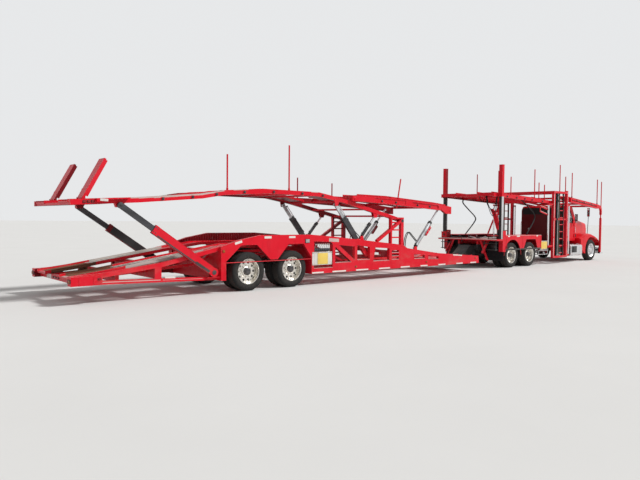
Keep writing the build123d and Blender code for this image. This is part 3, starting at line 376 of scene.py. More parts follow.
CAB_PAINT = {"base": (0.72, 0.002, 0.012), "faded": (0.66, 0.006, 0.016), "wear": 0.05, "dust": 0.25,
             "gloss": 0.36}
# shade is the strength of the painted shade each paint gets on inward faces and undersides
FINISHES = {
    "red": paint("red_paint_body", **CAB_PAINT, regions=MIRRORS),
    "red_frame": paint("red_paint_frame", wear=0.40, top_wear=0.25, shade=0.85),
    "red_main": paint("red_paint_main_deck", wear=0.45, top_wear=0.45, rusty=0.04, shade=0.75, holes=True,
                      pale=((-2.9, -0.9, 0.30), (-0.9, 0.6, 0.12), (2.2, 3.6, 0.10)), regions=DECK_LIPS),
    "red_deck": paint("red_paint_deck", wear=0.45, top_wear=0.50, rusty=0.06, shade=0.75, holes=True),
    "red_rear": paint("red_paint_floor", wear=0.70, top_wear=0.60, rusty=0.22, dust=0.8, holes=True,
                      pale=((-2.95, -1.3, 0.30), (0.3, 4.0, 0.10), (11.0, 13.9, 0.12)), regions=FLOOR_LIPS),
    "red_cab": paint("red_paint_cab", **CAB_PAINT, regions=CAB_BACK_SHADE),
    "red_arm": paint("red_paint_arms", wear=0.35, shade=0.70, regions=ARM_INNER_SHADE),
    "red_fender": paint("red_paint_fenders", wear=0.45, top_wear=0.25, shade=0.90, regions=GUARD_PARTS),
    "red_tower": paint("red_paint_towers", wear=0.45, shade=0.60, regions=TOWER_PARTS),
    "post": steel("deck_post_steel", PLATED, 1.0, 0.14, 0.0, 0.1, (1, 1, 6), POST_PARTS),
    "black": steel("black_frame", (0.030, 0.029, 0.030), 0.1, 0.55, 0.25, 0.6),
    "grease": steel("greased_steel", (0.060, 0.060, 0.065), 0.5, 0.42, 0.10, 0.3, (4, 1, 1)),
    "steel": steel("bare_steel", (0.55, 0.56, 0.57), 0.9, 0.34, 0.15, 0.3, (1, 1, 6)),
    "iron": steel("engine_casting", (0.10, 0.10, 0.105), 0.4, 0.6, 0.3, 0.4),
    "chrome": bright("chrome_plate", (0.80, 0.80, 0.82), 0.07),
    "alloy": bright("polished_alloy", (0.76, 0.76, 0.77), 0.20, 0.35),
    "rim": bright("wheel_alloy", (0.86, 0.83, 0.77), 0.26, 0.45),
    "glass": glass("window_pane", (0.70, 0.78, 0.78)),
    "rubber": rubber("tyre_tread"),
    "hose": plastic("hose_rubber", (0.009, 0.009, 0.010), 0.60),
    "trim": plastic("cab_trim", (0.050, 0.050, 0.055), 0.7),
    "seat": plastic("seat_fabric", (0.085, 0.080, 0.085), 0.85, 420.0),
    "white": sheet_paint("white_plate", (0.72, 0.70, 0.66)),
    "yellow": sheet_paint("yellow_plate", (0.84, 0.60, 0.12)),
    "tape_white": sheet_paint("tape_silver", (0.80, 0.77, 0.72), 0.4, 0.3),
    "worn": sheet_paint("worn_ledge", (0.62, 0.45, 0.42), 0.5, 0.5),
    "amber": lens("lens_amber", (0.85, 0.25, 0.02)),
    "red_lens": lens("lens_ruby", (0.60, 0.01, 0.01)),
    "clear_lens": lens("lens_clear", (0.85, 0.85, 0.82)),
}

# The nodes of each finish; all others are wheels
FINISH_NODES = {
    "red": "door_left door_right hood", "red_cab": "cab_shell", "red_main": "main_deck",
    "red_frame": "trailer_side_frames trailer_posts ramp_left ramp_right rack_posts",
    "red_deck": "front_deck tractor_upper_deck head_rack", "red_rear": "trailer_floor tractor_lower_deck",
    "red_arm": "rear_arms", "red_fender": "drive_fenders", "red_tower": "lift_towers", "post": "deck_posts",
    "black": "trailer_axles chassis_frame drive_axles steer_axle knuckle_left knuckle_right",
    "grease": "rear_arm_bars mid_arms mid_cylinders hitch_plate", "steel": "mid_arm_bars front_cylinders",
    "chrome": "mid_cylinder_rods front_cylinder_rods grille front_bumper", "alloy": "fuel_tanks",
    "glass": "cab_glass door_glass_left door_glass_right", "clear_lens": "headlamps",
    "iron": "engine_block", "seat": "cab_interior",
}
NODE_FINISH = {node: finish for finish, nodes in FINISH_NODES.items() for node in nodes.split()}
for name, node in NODES.items():
    for slot in node.material_slots:
        slot.link = "OBJECT"
        slot.material = FINISHES[NODE_FINISH.get(name, "rubber")]


# Forms

BOTH = (-1, 1)
NEAR = (-1,)
# One form only, with y as it is written
ONCE = (1,)


class Shape:
    """A mesh joined from simple forms at (u, y, z). Each form stands on every side asked for."""

    def __init__(self, finish, sides=BOTH, middle=MID_U):
        self.mesh = bmesh.new()
        self.finishes = []
        self.sides = sides
        self.middle = middle
        self.use(finish)

    def use(self, finish):
        """Names the finish of what comes next."""
        if finish not in self.finishes:
            self.finishes.append(finish)
        self.index = self.finishes.index(finish)

    def at(self, point, sign):
        u, y, z = point
        return Vector((u - self.middle, sign * y, z))

    def _keep(self, faces):
        for face in faces:
            face.material_index = self.index

    def box(self, u0, u1, y0, y1, z0, z1, bevel=0.0, sides=None):
        for sign in sides or self.sides:
            y_low, y_high = sorted((sign * y0, sign * y1))
            low, high = self.at((u0, y_low, z0), 1), self.at((u1, y_high, z1), 1)
            middle = [(a + b) / 2 for a, b in zip(low, high)]
            size = [b - a for a, b in zip(low, high)]
            matrix = Matrix.Translation(middle) @ Matrix.Diagonal((*size, 1))
            verts = bmesh.ops.create_cube(self.mesh, size=1, matrix=matrix)["verts"]
            self._keep({face for vert in verts for face in vert.link_faces})
            if bevel:
                edges = list({edge for vert in verts for edge in vert.link_edges})
                self._keep(bmesh.ops.bevel(self.mesh, geom=edges, offset=bevel, segments=2, affect="EDGES",
                                           profile=0.7)["faces"])

    def skin(self, rings, closed=False, caps=True):
        """Joins rings of vectors, all of one length, by faces."""
        made = [[self.mesh.verts.new(point) for point in ring] for ring in rings]
        pairs = list(zip(made, made[1:]))
        if closed:
            pairs.append((made[-1], made[0]))
        for first, second in pairs:
            for index in range(len(first)):
                after = (index + 1) % len(first)
                self._keep([self.mesh.faces.new((first[index], first[after], second[after], second[index]))])
        if caps and not closed:
            self._keep([self.mesh.faces.new(made[0][::-1]), self.mesh.faces.new(made[-1])])

    def rings(self, rings, closed=False, caps=True):
        """Joins rings of points (u, y, z), all of one length, into a body."""
        for sign in self.sides:
            self.skin([[self.at(point, sign) for point in ring] for ring in rings], closed, caps)

    def lathe(self, centre, axis, profile, count=32, sides=None, caps=True):
        """Turns a profile of (radius, distance along the axis) round the axis."""
        for sign in sides or self.sides:
            ahead = Vector((axis[0], sign * axis[1], axis[2])).normalized()
            side = ahead.orthogonal().normalized()
            other = ahead.cross(side)
            angles = [2 * math.pi * index / count for index in range(count)]
            self.skin([[self.at(centre, sign) + ahead * distance
                        + (side * math.cos(angle) + other * math.sin(angle)) * radius for angle in angles]
                       for radius, distance in profile], caps=caps)

    def drum(self, u, y, z, profile, count=20):
        """A turned form whose axis points outwards from the side of the vehicle."""
        self.lathe((u, y, z), (0, 1, 0), profile, count)

    def rod(self, start, end, radius, count=12, sides=None):
        axis = Vector(end) - Vector(start)
        self.lathe(start, axis, [(radius, 0), (radius, axis.length)], count, sides)

    def loop(self, points, radius, count, sides=None):
        """Rods from point to point and back to the first."""
        for first, last in around(points):
            self.rod(first, last, radius, count, sides)

    def nut(self, centre, axis, radius, height):
        """A bolt head on a washer."""
        self.lathe(centre, axis, [(radius * 1.35, -0.001), (radius * 1.35, height * 0.25)], 12)
        self.lathe(centre, axis, [(radius, 0), (radius, height * 0.85), (radius * 0.8, height)], 6)

    def bolts(self, spots, y, radius, height):
        for u, z in spots:
            self.nut((u, y, z), (0, 1, 0), radius, height)

    def bar(self, start, end, depth, y0, y1):
        """A flat bar between two points (u, z)."""
        du, dz = end[0] - start[0], end[1] - start[1]
        half = depth / 2 / math.hypot(du, dz)
        corners = ((-half, y0), (-half, y1), (half, y1), (half, y0))
        self.rings([[(u - k * dz, y, z + k * du) for k, y in corners] for u, z in (start, end)])

    def post(self, levels):
        """A body through level rectangles, each given by u0, u1, y0, y1 and its height."""
        self.rings([[(u0, y0, z), (u1, y0, z), (u1, y1, z), (u0, y1, z)] for u0, u1, y0, y1, z in levels])

    def path(self, points, radius, count=8, steps=4):
        """A round bar or hose through the points, bent smoothly."""
        angles = [2 * math.pi * k / count for k in range(count)]
        for sign in self.sides:
            spots = [self.at(point, sign) for point in points]
            ends = [spots[0] * 2 - spots[1]] + spots + [spots[-1] * 2 - spots[-2]]
            line = []
            for a, b, c, d in zip(ends, ends[1:], ends[2:], ends[3:]):
                for t in (step / steps for step in range(steps)):
                    line.append(0.5 * (2 * b + (c - a) * t + (2 * a - 5 * b + 4 * c - d) * t * t
                                       + (3 * b - 3 * c + d - a) * t ** 3))
            line.append(spots[-1])
            rings = []
            side = None
            for index, point in enumerate(line):
                ahead = line[min(index + 1, len(line) - 1)] - line[max(index - 1, 0)]
                ahead.normalize()
                side = ahead.orthogonal() if side is None else side - ahead * side.dot(ahead)
                side.normalize()
                other = ahead.cross(side)
                rings.append([point + (side * math.cos(angle) + other * math.sin(angle)) * radius
                              for angle in angles])
            self.skin(rings)

    def chain(self, points, size=0.026, wire=0.007):
        """Oval links along the points, with y as it is written, each turned a quarter from the last."""
        count = 0
        for first, last in zip(points, points[1:]):
            start = self.at(first, 1)
            run = self.at(last, 1) - start
            ahead = run.normalized()
            side = ahead.orthogonal().normalized()
            for index in range(max(1, round(run.length / (size * 1.5)))):
                middle = start + ahead * size * 1.5 * (index + 0.5)
                across = side if count % 2 else ahead.cross(side)
                normal = ahead.cross(across)
                rings = []
                for angle in (2 * math.pi * k / 10 for k in range(10)):
                    spoke = ahead * math.cos(angle) + across * 0.62 * math.sin(angle)
                    offsets = [spoke.normalized() * wire, normal * wire]
                    centre = middle + spoke * size
                    rings.append([centre + offsets[0], centre + offsets[1], centre - offsets[0],
                                  centre - offsets[1]])
                self.skin(rings, closed=True)
                count += 1

    def data(self, name, angle=35):
        bmesh.ops.recalc_face_normals(self.mesh, faces=self.mesh.faces)
        made = bpy.data.meshes.new(name)
        self.mesh.to_mesh(made)
        self.mesh.free()
        made.polygons.foreach_set("use_smooth", [True] * len(made.polygons))
        made.set_sharp_from_angle(angle=math.radians(angle))
        for finish in self.finishes:
            made.materials.append(FINISHES[finish])
        return made


def around(points):
    return zip(points, points[1:] + points[:1])


def place(name, data, body, matrix=None):
    piece = link(name, data)
    if matrix is not None:
        piece.matrix_world = matrix
    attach(piece, body)
    return piece


def dress(name, shape, body):
    return place(name, shape.data(name), body)


def span(name, shape, first, second, start, end, slot):
    """A hose that leads from one body to the other, fixed in place in the scene."""
    piece = link(name, shape.data(name))
    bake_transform(piece)


# Wheels

TYRE_R = 0.460
RIM_R = 0.295
TYRE_WIDTH = 0.265
DUAL_PITCH = 0.320
GROOVES = (0.078, 0.114, 0.151, 0.187)
# Half width and depth of a groove
GROOVE = (0.0045, 0.013)
HANDS = 10
NUTS = 10
NUT_CIRCLE_R = 0.143


def tyre_profile(start):
    """(radius, depth) from the outer bead round the tread to the inner bead."""
    side = [(RIM_R - 0.004, 0.036), (0.300, 0.024), (0.318, 0.014), (0.345, 0.004), (0.375, 0.0),
            (0.400, 0.001), (0.424, 0.007), (0.440, 0.016), (0.447, 0.022), (0.4575, 0.034),
            (TYRE_R, 0.050)]
    points = [(r, start + t) for r, t in side]
    half, deep = GROOVE
    for middle in (start + groove for groove in GROOVES):
        points += [(TYRE_R, middle - half), (TYRE_R - deep, middle - half * 0.6),
                   (TYRE_R - deep, middle + half * 0.6), (TYRE_R, middle + half)]
    return points + [(r, start + TYRE_WIDTH - t) for r, t in reversed(side)]


def disc(shape, depth, thick, inner, outer, hole_at, hole_r):
    """A wheel disc with a ring of round hand holes, its face at the depth."""
    count = 20
    for middle in (2 * math.pi * hand / HANDS for hand in range(HANDS)):
        rings = []
        for y in (-depth, -depth - thick):
            holes, bounds = [], []
            for angle in (2 * math.pi * index / count for index in range(count)):
                c, s = math.cos(angle), math.sin(angle)
                wide = max(abs(c), abs(s))
                hx, hz = hole_at + hole_r * s, hole_r * c
                holes.append((hx * math.cos(middle) - hz * math.sin(middle), y,
                              hx * math.sin(middle) + hz * math.cos(middle)))
                radius = (inner + outer) / 2 + (outer - inner) / 2 * s / wide
                turn = middle + math.pi / HANDS * c / wide
                bounds.append((radius * math.cos(turn), y, radius * math.sin(turn)))
            rings += [bounds, holes]
        shape.rings([rings[0], rings[1], rings[3], rings[2]], caps=False)


def wheel_data(name, dual):
    """A wheel whose outer sidewall is at Y = 0 and that reaches inwards along -Y."""
    shape = Shape("rubber", ONCE, middle=0.0)

    def spin(profile, count=48, caps=False):
        shape.lathe((0, 0, 0), (0, -1, 0), profile, count, caps=caps)

    starts = (0, DUAL_PITCH) if dual else (0,)
    for start in starts:
        spin(tyre_profile(start), 72)
    shape.use("rim" if dual else "alloy")
    inner_end = starts[-1] + TYRE_WIDTH - 0.03
    lip = [(RIM_R + 0.004, 0.034), (RIM_R + 0.010, 0.022), (RIM_R + 0.004, 0.012)]
    bead = [(RIM_R - 0.004, inner_end - 0.02), (RIM_R + 0.006, inner_end + 0.008), (RIM_R - 0.012, inner_end)]
    if dual:
        face, nut_height, drum_start, drum_end = 0.140, 0.032, DUAL_PITCH + 0.12, inner_end + 0.009
        spin(lip + [(RIM_R - 0.006, 0.014), (RIM_R - 0.014, 0.028), (RIM_R - 0.018, 0.050),
                    (RIM_R - 0.028, 0.075), (RIM_R - 0.036, 0.120), (RIM_R - 0.044, face)], 72)
        disc(shape, face, 0.014, 0.112, RIM_R - 0.043, 0.213, 0.029)
        spin([(RIM_R - 0.030, face + 0.010), (RIM_R - 0.020, DUAL_PITCH - 0.06),
              (RIM_R - 0.004, DUAL_PITCH + 0.03)])
        spin(bead + [(RIM_R - 0.045, drum_start), (0.212, drum_start)])
        spin([(0.112, face + 0.004), (0.110, face - 0.020), (0.092, face - 0.030)], 40)
        hub = [(0.090, face - 0.020), (0.088, 0.060), (0.074, 0.052), (0.070, 0.034), (0.056, 0.024),
               (0.0, 0.022)]
    else:
        face, nut_height, drum_start, drum_end = 0.058, 0.042, 0.171, inner_end - 0.046
        spin(lip + [(RIM_R - 0.008, 0.012), (RIM_R - 0.020, 0.020), (RIM_R - 0.030, 0.040),
                    (RIM_R - 0.046, face - 0.004)], 72)
        disc(shape, face, 0.022, 0.118, RIM_R - 0.045, 0.208, 0.026)
        spin(bead + [(RIM_R - 0.045, 0.17), (0.207, 0.17)])
        hub = [(0.118, face + 0.004), (0.108, face - 0.006), (0.100, 0.020), (0.090, 0.004), (0.070, -0.004),
               (0.040, -0.008), (0.0, -0.009)]
    for angle in (2 * math.pi * (index + 0.5) / NUTS for index in range(NUTS)):
        shape.nut((NUT_CIRCLE_R * math.cos(angle), -face, NUT_CIRCLE_R * math.sin(angle)), (0, 1, 0), 0.0165,
                  nut_height)
    if dual:
        shape.use("grease")
    spin(hub, 40)
    shape.use("grease")
    spin([(0.03, drum_start), (0.209, drum_start), (0.209, drum_end - 0.02), (0.196, drum_end),
          (0.03, drum_end)], 40, True)
    return shape.data(name, 32)


WHEEL_FACE = 1.262
STEER_FACE = 1.200
dual_data = wheel_data("dual_wheel", True)
WHEELS = [(f"wheel_{axle}_{number}", u, WHEEL_FACE, dual_data)
          for axle, stations in (("trailer", (0.0, 1.302)), ("drive", (11.655, 12.961)))
          for number, u in enumerate(stations, start=1)]
WHEELS.append(("wheel_steer", 18.475, STEER_FACE, wheel_data("steer_wheel", False)))
for name, u, face, data in WHEELS:
    for side, sign in SIDES:
        node = f"{name}_{side}"
        turn = Matrix.Rotation(0 if sign > 0 else math.pi, 4, "Z")
        piece = place(f"{node}_dressed", data, node,
                      Matrix.Translation(at(u, sign * face, TYRE_R)) @ turn)
        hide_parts(node)


# Places on lines of points (u, z), and on arms and cylinders

def slope(line, u):
    """The height of a line at station u."""
    for (u0, z0), (u1, z1) in zip(line, line[1:]):
        if u0 <= u <= u1:
            return z0 + (z1 - z0) * (u - u0) / (u1 - u0)
    return line[-1][1]


def on(line, u, up=0.0):
    return (u, slope(line, u) + up)


def with_y(point, y):
    """The point (u, z) at y."""
    return (point[0], y, point[1])


def toward(foot, head, distance, offset=0.0):
    """A point (u, z) on the line from foot to head, and offset to its upper side."""
    du, dz = head[0] - foot[0], head[1] - foot[1]
    length = math.hypot(du, dz)
    side = offset if du > 0 else -offset
    return (foot[0] + (du * distance - dz * side) / length, foot[1] + (dz * distance + du * side) / length)


# Trailer sides: tapes, beads round the openings, worn ledges, ribs, plates and lamps

TAPE = 0.002
TAPE_Y = SIDE_Y + TAPE
RAIL_Y = 1.200
RAIL_WEAR_Y = 1.2015
WEB_Y = 1.203
FRAME_TOP = [(-0.780, 1.060), (-0.300, 1.205), (0.328, 1.318), (1.885, 1.315), (2.607, 1.261),
             (5.475, 0.977), (5.677, 0.873), (7.188, 0.676), (9.433, 0.515)]
UNDER_LINE = [(1.910, 0.300), (9.471, 0.274)]
OPENINGS = [
    [(1.990, 0.440), (1.990, 1.140), (2.560, 1.120), (2.640, 1.060), (2.640, 0.440)],
    [(2.733, 0.556), (2.733, 0.985), (3.340, 0.556)],
    [(2.860, 1.030), (3.463, 0.975), (3.463, 0.605)],
    [(3.560, 0.600), (3.560, 1.010), (4.060, 0.945), (4.060, 0.600)],
    [(4.200, 0.540), (4.290, 0.925), (4.880, 0.890), (4.880, 0.540)],
    [(6.003, 0.540), (6.003, 0.690), (6.515, 0.640), (6.515, 0.540)],
    [(6.686, 0.520), (6.686, 0.625), (7.211, 0.570), (7.211, 0.490)],
]
# From, height there, to, height there, depth
TAPES = [(-0.414, 1.127, -0.222, 1.176, 0.055), (0.417, 1.262, 0.625, 1.262, 0.055),
         (1.164, 1.260, 1.365, 1.260, 0.050), (7.978, 0.596, 8.474, 0.560, 0.036)]
LOW_TAPES = ((1.925, 2.321), (2.638, 3.131), (3.521, 4.001), (4.447, 4.910), (5.389, 5.799),
             (6.313, 6.657), (7.207, 7.574), (8.162, 8.519), (8.960, 9.299))
shape = Shape("tape_white")
for u0, z0, u1, z1, depth in TAPES:
    shape.bar((u0, z0), (u1, z1), depth, SIDE_Y, TAPE_Y)
shape.bar((-2.100, 0.440), (-1.860, 0.430), 0.040, RAIL_Y, RAIL_Y + TAPE)
for u0, u1 in LOW_TAPES:
    shape.bar(on(UNDER_LINE, u0, 0.026), on(UNDER_LINE, u1, 0.026), 0.038, SIDE_Y, TAPE_Y)
shape.use("worn")
shape.bar((2.503, 1.172), (2.859, 1.150), 0.090, SIDE_Y, TAPE_Y)
shape.bar((-3.440, 0.4215), (-2.200, 0.3910), 0.016, RAIL_Y, RAIL_WEAR_Y)
shape.bar((-2.150, 0.3865), (-1.200, 0.3630), 0.008, RAIL_Y, RAIL_WEAR_Y)
for outline in OPENINGS:
    sill = min(z for u, z in outline) + 0.035
    for first, last in around(outline):
        if max(first[1], last[1]) < sill:
            shape.bar(first, last, 0.014, WEB_Y, TAPE_Y)
for z in (0.553, 0.653, 0.753):
    shape.box(4.985, 5.300, WEB_Y, TAPE_Y, z, z + 0.010)
dress("trailer_tapes", shape, "trailer")

shape = Shape("red_frame")
for outline in OPENINGS:
    shape.loop([with_y(point, SIDE_Y) for point in outline], 0.004, 6)
for u in (-0.60 + 0.075 * index for index in range(38)):
    shape.box(u, u + 0.018, 1.190, 1.2045, 1.100, slope(FRAME_TOP, u) - 0.015)
# The foot of the lifting arm and the rear box ends
shape.box(-1.120, -0.800, WEB_Y, 1.290, 0.372, 0.385, 0.003)
for u in (-3.90, -3.62):
    shape.box(u - 0.010, u + 0.010, SIDE_Y, SIDE_Y + 0.006, 0.390, 0.555, 0.002)
dress("trailer_ribs", shape, "trailer")

shape = Shape("white", NEAR)
PLATE_Y = SIDE_Y + 0.003
shape.box(1.924, 2.612, SIDE_Y - 0.004, PLATE_Y, 0.518, 0.863, 0.003)
for z in (0.530, 0.851):
    shape.path([(1.935, SIDE_Y + 0.008, z), (2.601, SIDE_Y + 0.008, z)], 0.006, 8, 2)
shape.use("yellow")
shape.box(2.106, 2.462, SIDE_Y + 0.002, SIDE_Y + 0.008, 0.540, 0.830, 0.003)
shape.use("steel")
shape.bolts([(u, z) for u in (1.950, 2.588) for z in (0.545, 0.838)], PLATE_Y, 0.011, 0.009)
dress("placard_frames", shape, "trailer")

# Valve bank behind the first opening, with its levers and hoses
shape = Shape("grease")
shape.box(2.010, 2.560, 1.212, 1.276, 0.872, 0.952, 0.008)
for u in (2.045 + 0.065 * index for index in range(8)):
    shape.use("grease")
    shape.drum(u, 1.276, 0.912, [(0.022, 0.0), (0.022, 0.010), (0.014, 0.016)], 12)
    shape.path([(u, 1.235, 0.875), (u + 0.02, 1.245, 0.800), (u + 0.05, 1.225, 0.700),
                (2.300, 1.215, 0.560)], 0.009, 8, 5)
    shape.use("steel")
    shape.rod((u, 1.250, 0.950), (u + 0.006, 1.286, 1.050), 0.006, 8)
    shape.use("white")
    shape.lathe((u + 0.006, 1.283, 1.040), (0, 0.35, 1),
                [(0.008, 0.0), (0.017, 0.010), (0.017, 0.024), (0.007, 0.034)], 12)
dress("valve_banks", shape, "trailer")

# Marker lamps of the trailer: station, height, half length, half height, lens
LAMPS = [(1.760, 1.155, 0.075, 0.052, "clear_lens"), (-0.715, 0.960, 0.030, 0.030, "amber"),
         (-3.520, 0.500, 0.034, 0.020, "red_lens")]
LAMPS += [(u, z, 0.034, 0.020, "amber") for u, z in ((3.510, 0.420), (6.600, 0.420), (9.250, 0.450))]
shape = Shape("trim")
for u, z, long_half, high_half, cover in LAMPS:
    for finish, part, y0, y1, bevel in (("trim", 1.0, 0.0, 0.008, 0.003), (cover, 0.8, 0.006, 0.018, 0.005)):
        shape.use(finish)
        shape.box(u - long_half * part, u + long_half * part, SIDE_Y + y0, SIDE_Y + y1,
                  z - high_half * part, z + high_half * part, bevel)
REAR_FACE = -4.060
for y, cover in ((1.160, "red_lens"), (1.245, "amber")):
    for finish, profile in (("trim", [(0.043, 0.0), (0.043, 0.012), (0.036, 0.014)]),
                            (cover, [(0.036, 0.008), (0.034, 0.020), (0.018, 0.026), (0.0, 0.027)])):
        shape.use(finish)
        shape.lathe((REAR_FACE, y, 0.470), (-1, 0, 0), profile, 24)
for y in (-0.16, 0.0, 0.16):
    shape.use("trim")
    shape.box(-3.952, -3.940, y - 0.045, y + 0.045, 0.430, 0.470, 0.004, ONCE)
    shape.use("red_lens")
    shape.box(-3.962, -3.950, y - 0.036, y + 0.036, 0.437, 0.463, 0.004, ONCE)
shape.use("white")
shape.box(-3.948, -3.940, 0.300, 0.610, 0.405, 0.495, 0.003, ONCE)
dress("trailer_lamps", shape, "trailer")


# Pivots, arms and cylinders

ARM_FOOT, ARM_HEAD = (-0.950, 0.490), (-3.080, 1.950)
MID_FOOT, MID_HEAD = (3.680, 1.130), (2.850, 2.125)
MID_AHEAD = (MID_HEAD[0] - MID_FOOT[0], 0, MID_HEAD[1] - MID_FOOT[1])
on_arm = partial(toward, ARM_FOOT, ARM_HEAD)
on_mid = partial(toward, MID_FOOT, MID_HEAD)
ARM_FACE_Y = 1.2815
ROD_Y = 1.143
ROD_UP = 0.096
# Foot, head, barrel radius, barrel length
LIFTS = {"mid": ((3.830, 1.205), (4.380, 1.808), 0.042, 0.540),
         "front": ((6.184, 0.860), (7.342, 2.080), 0.055, 1.100)}
LIFT_Y = 1.150


def pivot(shape, u, y, z, radius):
    """The end of a pin with its keeper ring and bolt."""
    shape.drum(u, y, z, [(radius, -0.001), (radius, 0.005), (radius * 0.7, 0.009)])
    shape.bolts([(u, z)], y + 0.008, radius * 0.3, 0.009)


def sleeve_mouth(shape, limb, start, end, depth, y0, y1, plate=0.005):
    """A band of plate round the open end of an arm's sleeve."""
    for low, high in ((y0 - plate, y0), (y1, y1 + plate)):
        shape.bar(limb(start), limb(end), depth + 2 * plate, low, high)
    for offset in (-depth / 2 - plate / 2, depth / 2 + plate / 2):
        shape.bar(limb(start, offset), limb(end, offset), plate, y0, y1)


shape = Shape("grease")
pivot(shape, ARM_FOOT[0], 1.284, ARM_FOOT[1], 0.052)
pivot(shape, 5.440, SIDE_Y, 1.690, 0.050)
shape.bolts([(4.960, 1.765), (5.150, 1.765), (5.330, 1.765)], SIDE_Y, 0.010, 0.008)
dress("trailer_pivots", shape, "trailer")

shape = Shape("red_frame")
sleeve_mouth(shape, on_arm, 1.640, 1.742, 0.185, 1.212, 1.282)
for offset in (-0.0925, 0.0925):
    for y in (1.213, 1.281):
        shape.rod(with_y(on_arm(0.12, offset), y), with_y(on_arm(1.63, offset), y), 0.0035, 6)
shape.use("grease")
shape.bar(on_arm(0.34, -0.068), on_arm(1.60, -0.078), 0.030, ARM_FACE_Y, 1.284)
shape.bar(on_arm(0.11, -0.050), on_arm(0.52, -0.058), 0.062, ARM_FACE_Y, 1.2845)
shape.bolts([on_arm(distance, offset) for distance in (1.665, 1.715) for offset in (-0.05, 0.05)],
            1.287, 0.009, 0.007)
dress("rear_arm_bands", shape, "rear_arms")

shape = Shape("black")
pivot(shape, ARM_HEAD[0], 1.276, ARM_HEAD[1], 0.040)
dress("rear_arm_pins", shape, "rear_arm_bars")

shape = Shape("black")
sleeve_mouth(shape, on_mid, 0.740, 0.822, 0.150, 1.108, 1.178)
shape.rod(with_y(on_mid(0.16, ROD_UP), ROD_Y), with_y(on_mid(0.72, ROD_UP), ROD_Y), 0.019, 14)
for distance in (0.20, 0.68):
    shape.lathe(with_y(on_mid(distance, ROD_UP), ROD_Y), MID_AHEAD, [(0.026, -0.02), (0.026, 0.02)], 14)
dress("mid_arm_bands", shape, "mid_arms")

shape = Shape("chrome")
shape.rod(with_y(on_mid(0.50, ROD_UP), ROD_Y), with_y(on_mid(1.190, ROD_UP), ROD_Y), 0.013, 14)
shape.use("black")
shape.bar(on_mid(1.170, 0.075), on_mid(1.200, 0.075), 0.070, ROD_Y - 0.015, ROD_Y + 0.015)
dress("mid_arm_rods", shape, "mid_arm_bars")

for name, (foot, head, radius, length) in LIFTS.items():
    on_lift = partial(toward, foot, head)
    shape = Shape("black")
    for profile in ([(radius * 0.95, length - 0.075), (radius + 0.009, length - 0.070),
                     (radius + 0.009, length + 0.003), (radius * 0.72, length + 0.007)],
                    [(radius * 0.95, 0.060), (radius + 0.006, 0.064), (radius + 0.006, 0.096),
                     (radius * 0.95, 0.100)]):
        shape.lathe(with_y(foot, LIFT_Y), (head[0] - foot[0], 0, head[1] - foot[1]), profile, 24)
    for distance in (0.110, length - 0.110):
        shape.bar(on_lift(distance, radius + 0.008), on_lift(distance + 0.04, radius + 0.008), 0.030,
                  LIFT_Y - 0.016, LIFT_Y + 0.016)
    shape.use("steel")
    shape.bar(on_lift(0.130, radius + 0.020), on_lift(length - 0.090, radius + 0.020), 0.012,
              LIFT_Y - 0.006, LIFT_Y + 0.006)
    if name == "front":
        shape.bar(on_lift(0.600, -0.060), on_lift(1.020, -0.060), 0.012, 1.112, 1.185)
        shape.bolts([on_lift(distance, -0.096) for distance in (0.68, 0.81, 0.94)], 1.192, 0.012, 0.012)
        shape.use("red_frame")
        shape.bar(on_lift(0.640, -0.096), on_lift(0.980, -0.096), 0.078, 1.105, 1.192)
    dress(f"{name}_cylinder_fittings", shape, f"{name}_cylinders")

LOOP = [(5.682, 0.895), (5.723, 1.166), (5.858, 1.346), (6.049, 1.223), (6.243, 1.066)]
for side, sign in SIDES:
    shape = Shape("hose", (sign,))
    for lane, shift in ((1.200, 0.0), (1.172, -0.030)):
        shape.path([(u + shift, lane, z) for u, z in LOOP], 0.013, 10, 10)
    span(f"lift_hoses_{side}", shape, "trailer", "front_cylinders", with_y(LOOP[0], sign * 1.2),
         with_y(LOOP[-1], sign * 1.2), "black_hose")


# Upper decks: ratchets along the rails, collars on the stakes, patches, pins, straps and hoses

DECK_TOP = [(-4.034, 2.045), (-2.678, 2.125), (-1.195, 2.254), (-0.644, 2.351), (0.445, 2.433),
            (2.203, 2.418), (3.101, 2.275), (5.089, 1.850), (5.540, 1.745)]
FRONT_TOP = [(3.365, 2.372), (4.941, 2.345), (7.210, 2.215), (7.850, 2.160)]
UPPER_RAIL = [(10.560, 2.735), (11.125, 2.715), (14.700, 2.570)]
RACK_TOP = [(16.200, 2.745), (18.778, 2.521), (19.080, 2.470)]


def ratchet(shape, u, y, z, reach=0.036):
    """A strap winch: its cheek, a drum with a toothed wheel, and a pawl."""
    shape.box(u - 0.044, u + 0.044, y, y + 0.004, z - 0.034, z + 0.034)
    shape.rod((u + 0.030, y + 0.004, z + 0.022), (u + 0.030, y + 0.018, z + 0.022), 0.006, 8)
    shape.use("grease")
    shape.drum(u, y + 0.004, z, [(0.018, 0.0), (0.018, reach - 0.012)], 14)
    shape.drum(u, y + 0.010, z, [(0.030, 0.0), (0.030, 0.005)], 11)
    shape.drum(u, y + reach - 0.008, z, [(0.027, 0.0), (0.027, 0.005), (0.012, 0.008)], 16)
    shape.use(shape.finishes[0])


def collar(shape, u, y, z, side):
    shape.lathe((u, y, z), (0, 0, 1), [(0.026, 0.0), (0.026, 0.050), (0.0195, 0.058)], 16, (side,))


shape = Shape("red_main")
for u in (-2.15, -1.45, -0.85, -0.10, 0.75, 1.65, 2.35):
    ratchet(shape, u, RAIL_Y, slope(DECK_TOP, u) - 0.062)
for u, side in ((-0.540, -1), (1.262, -1), (3.400, 1)):
    collar(shape, u, 1.155, slope(DECK_TOP, u), side)
pivot(shape, 3.450, 1.290, 2.290, 0.044)
dress("main_deck_ratchets", shape, "main_deck")

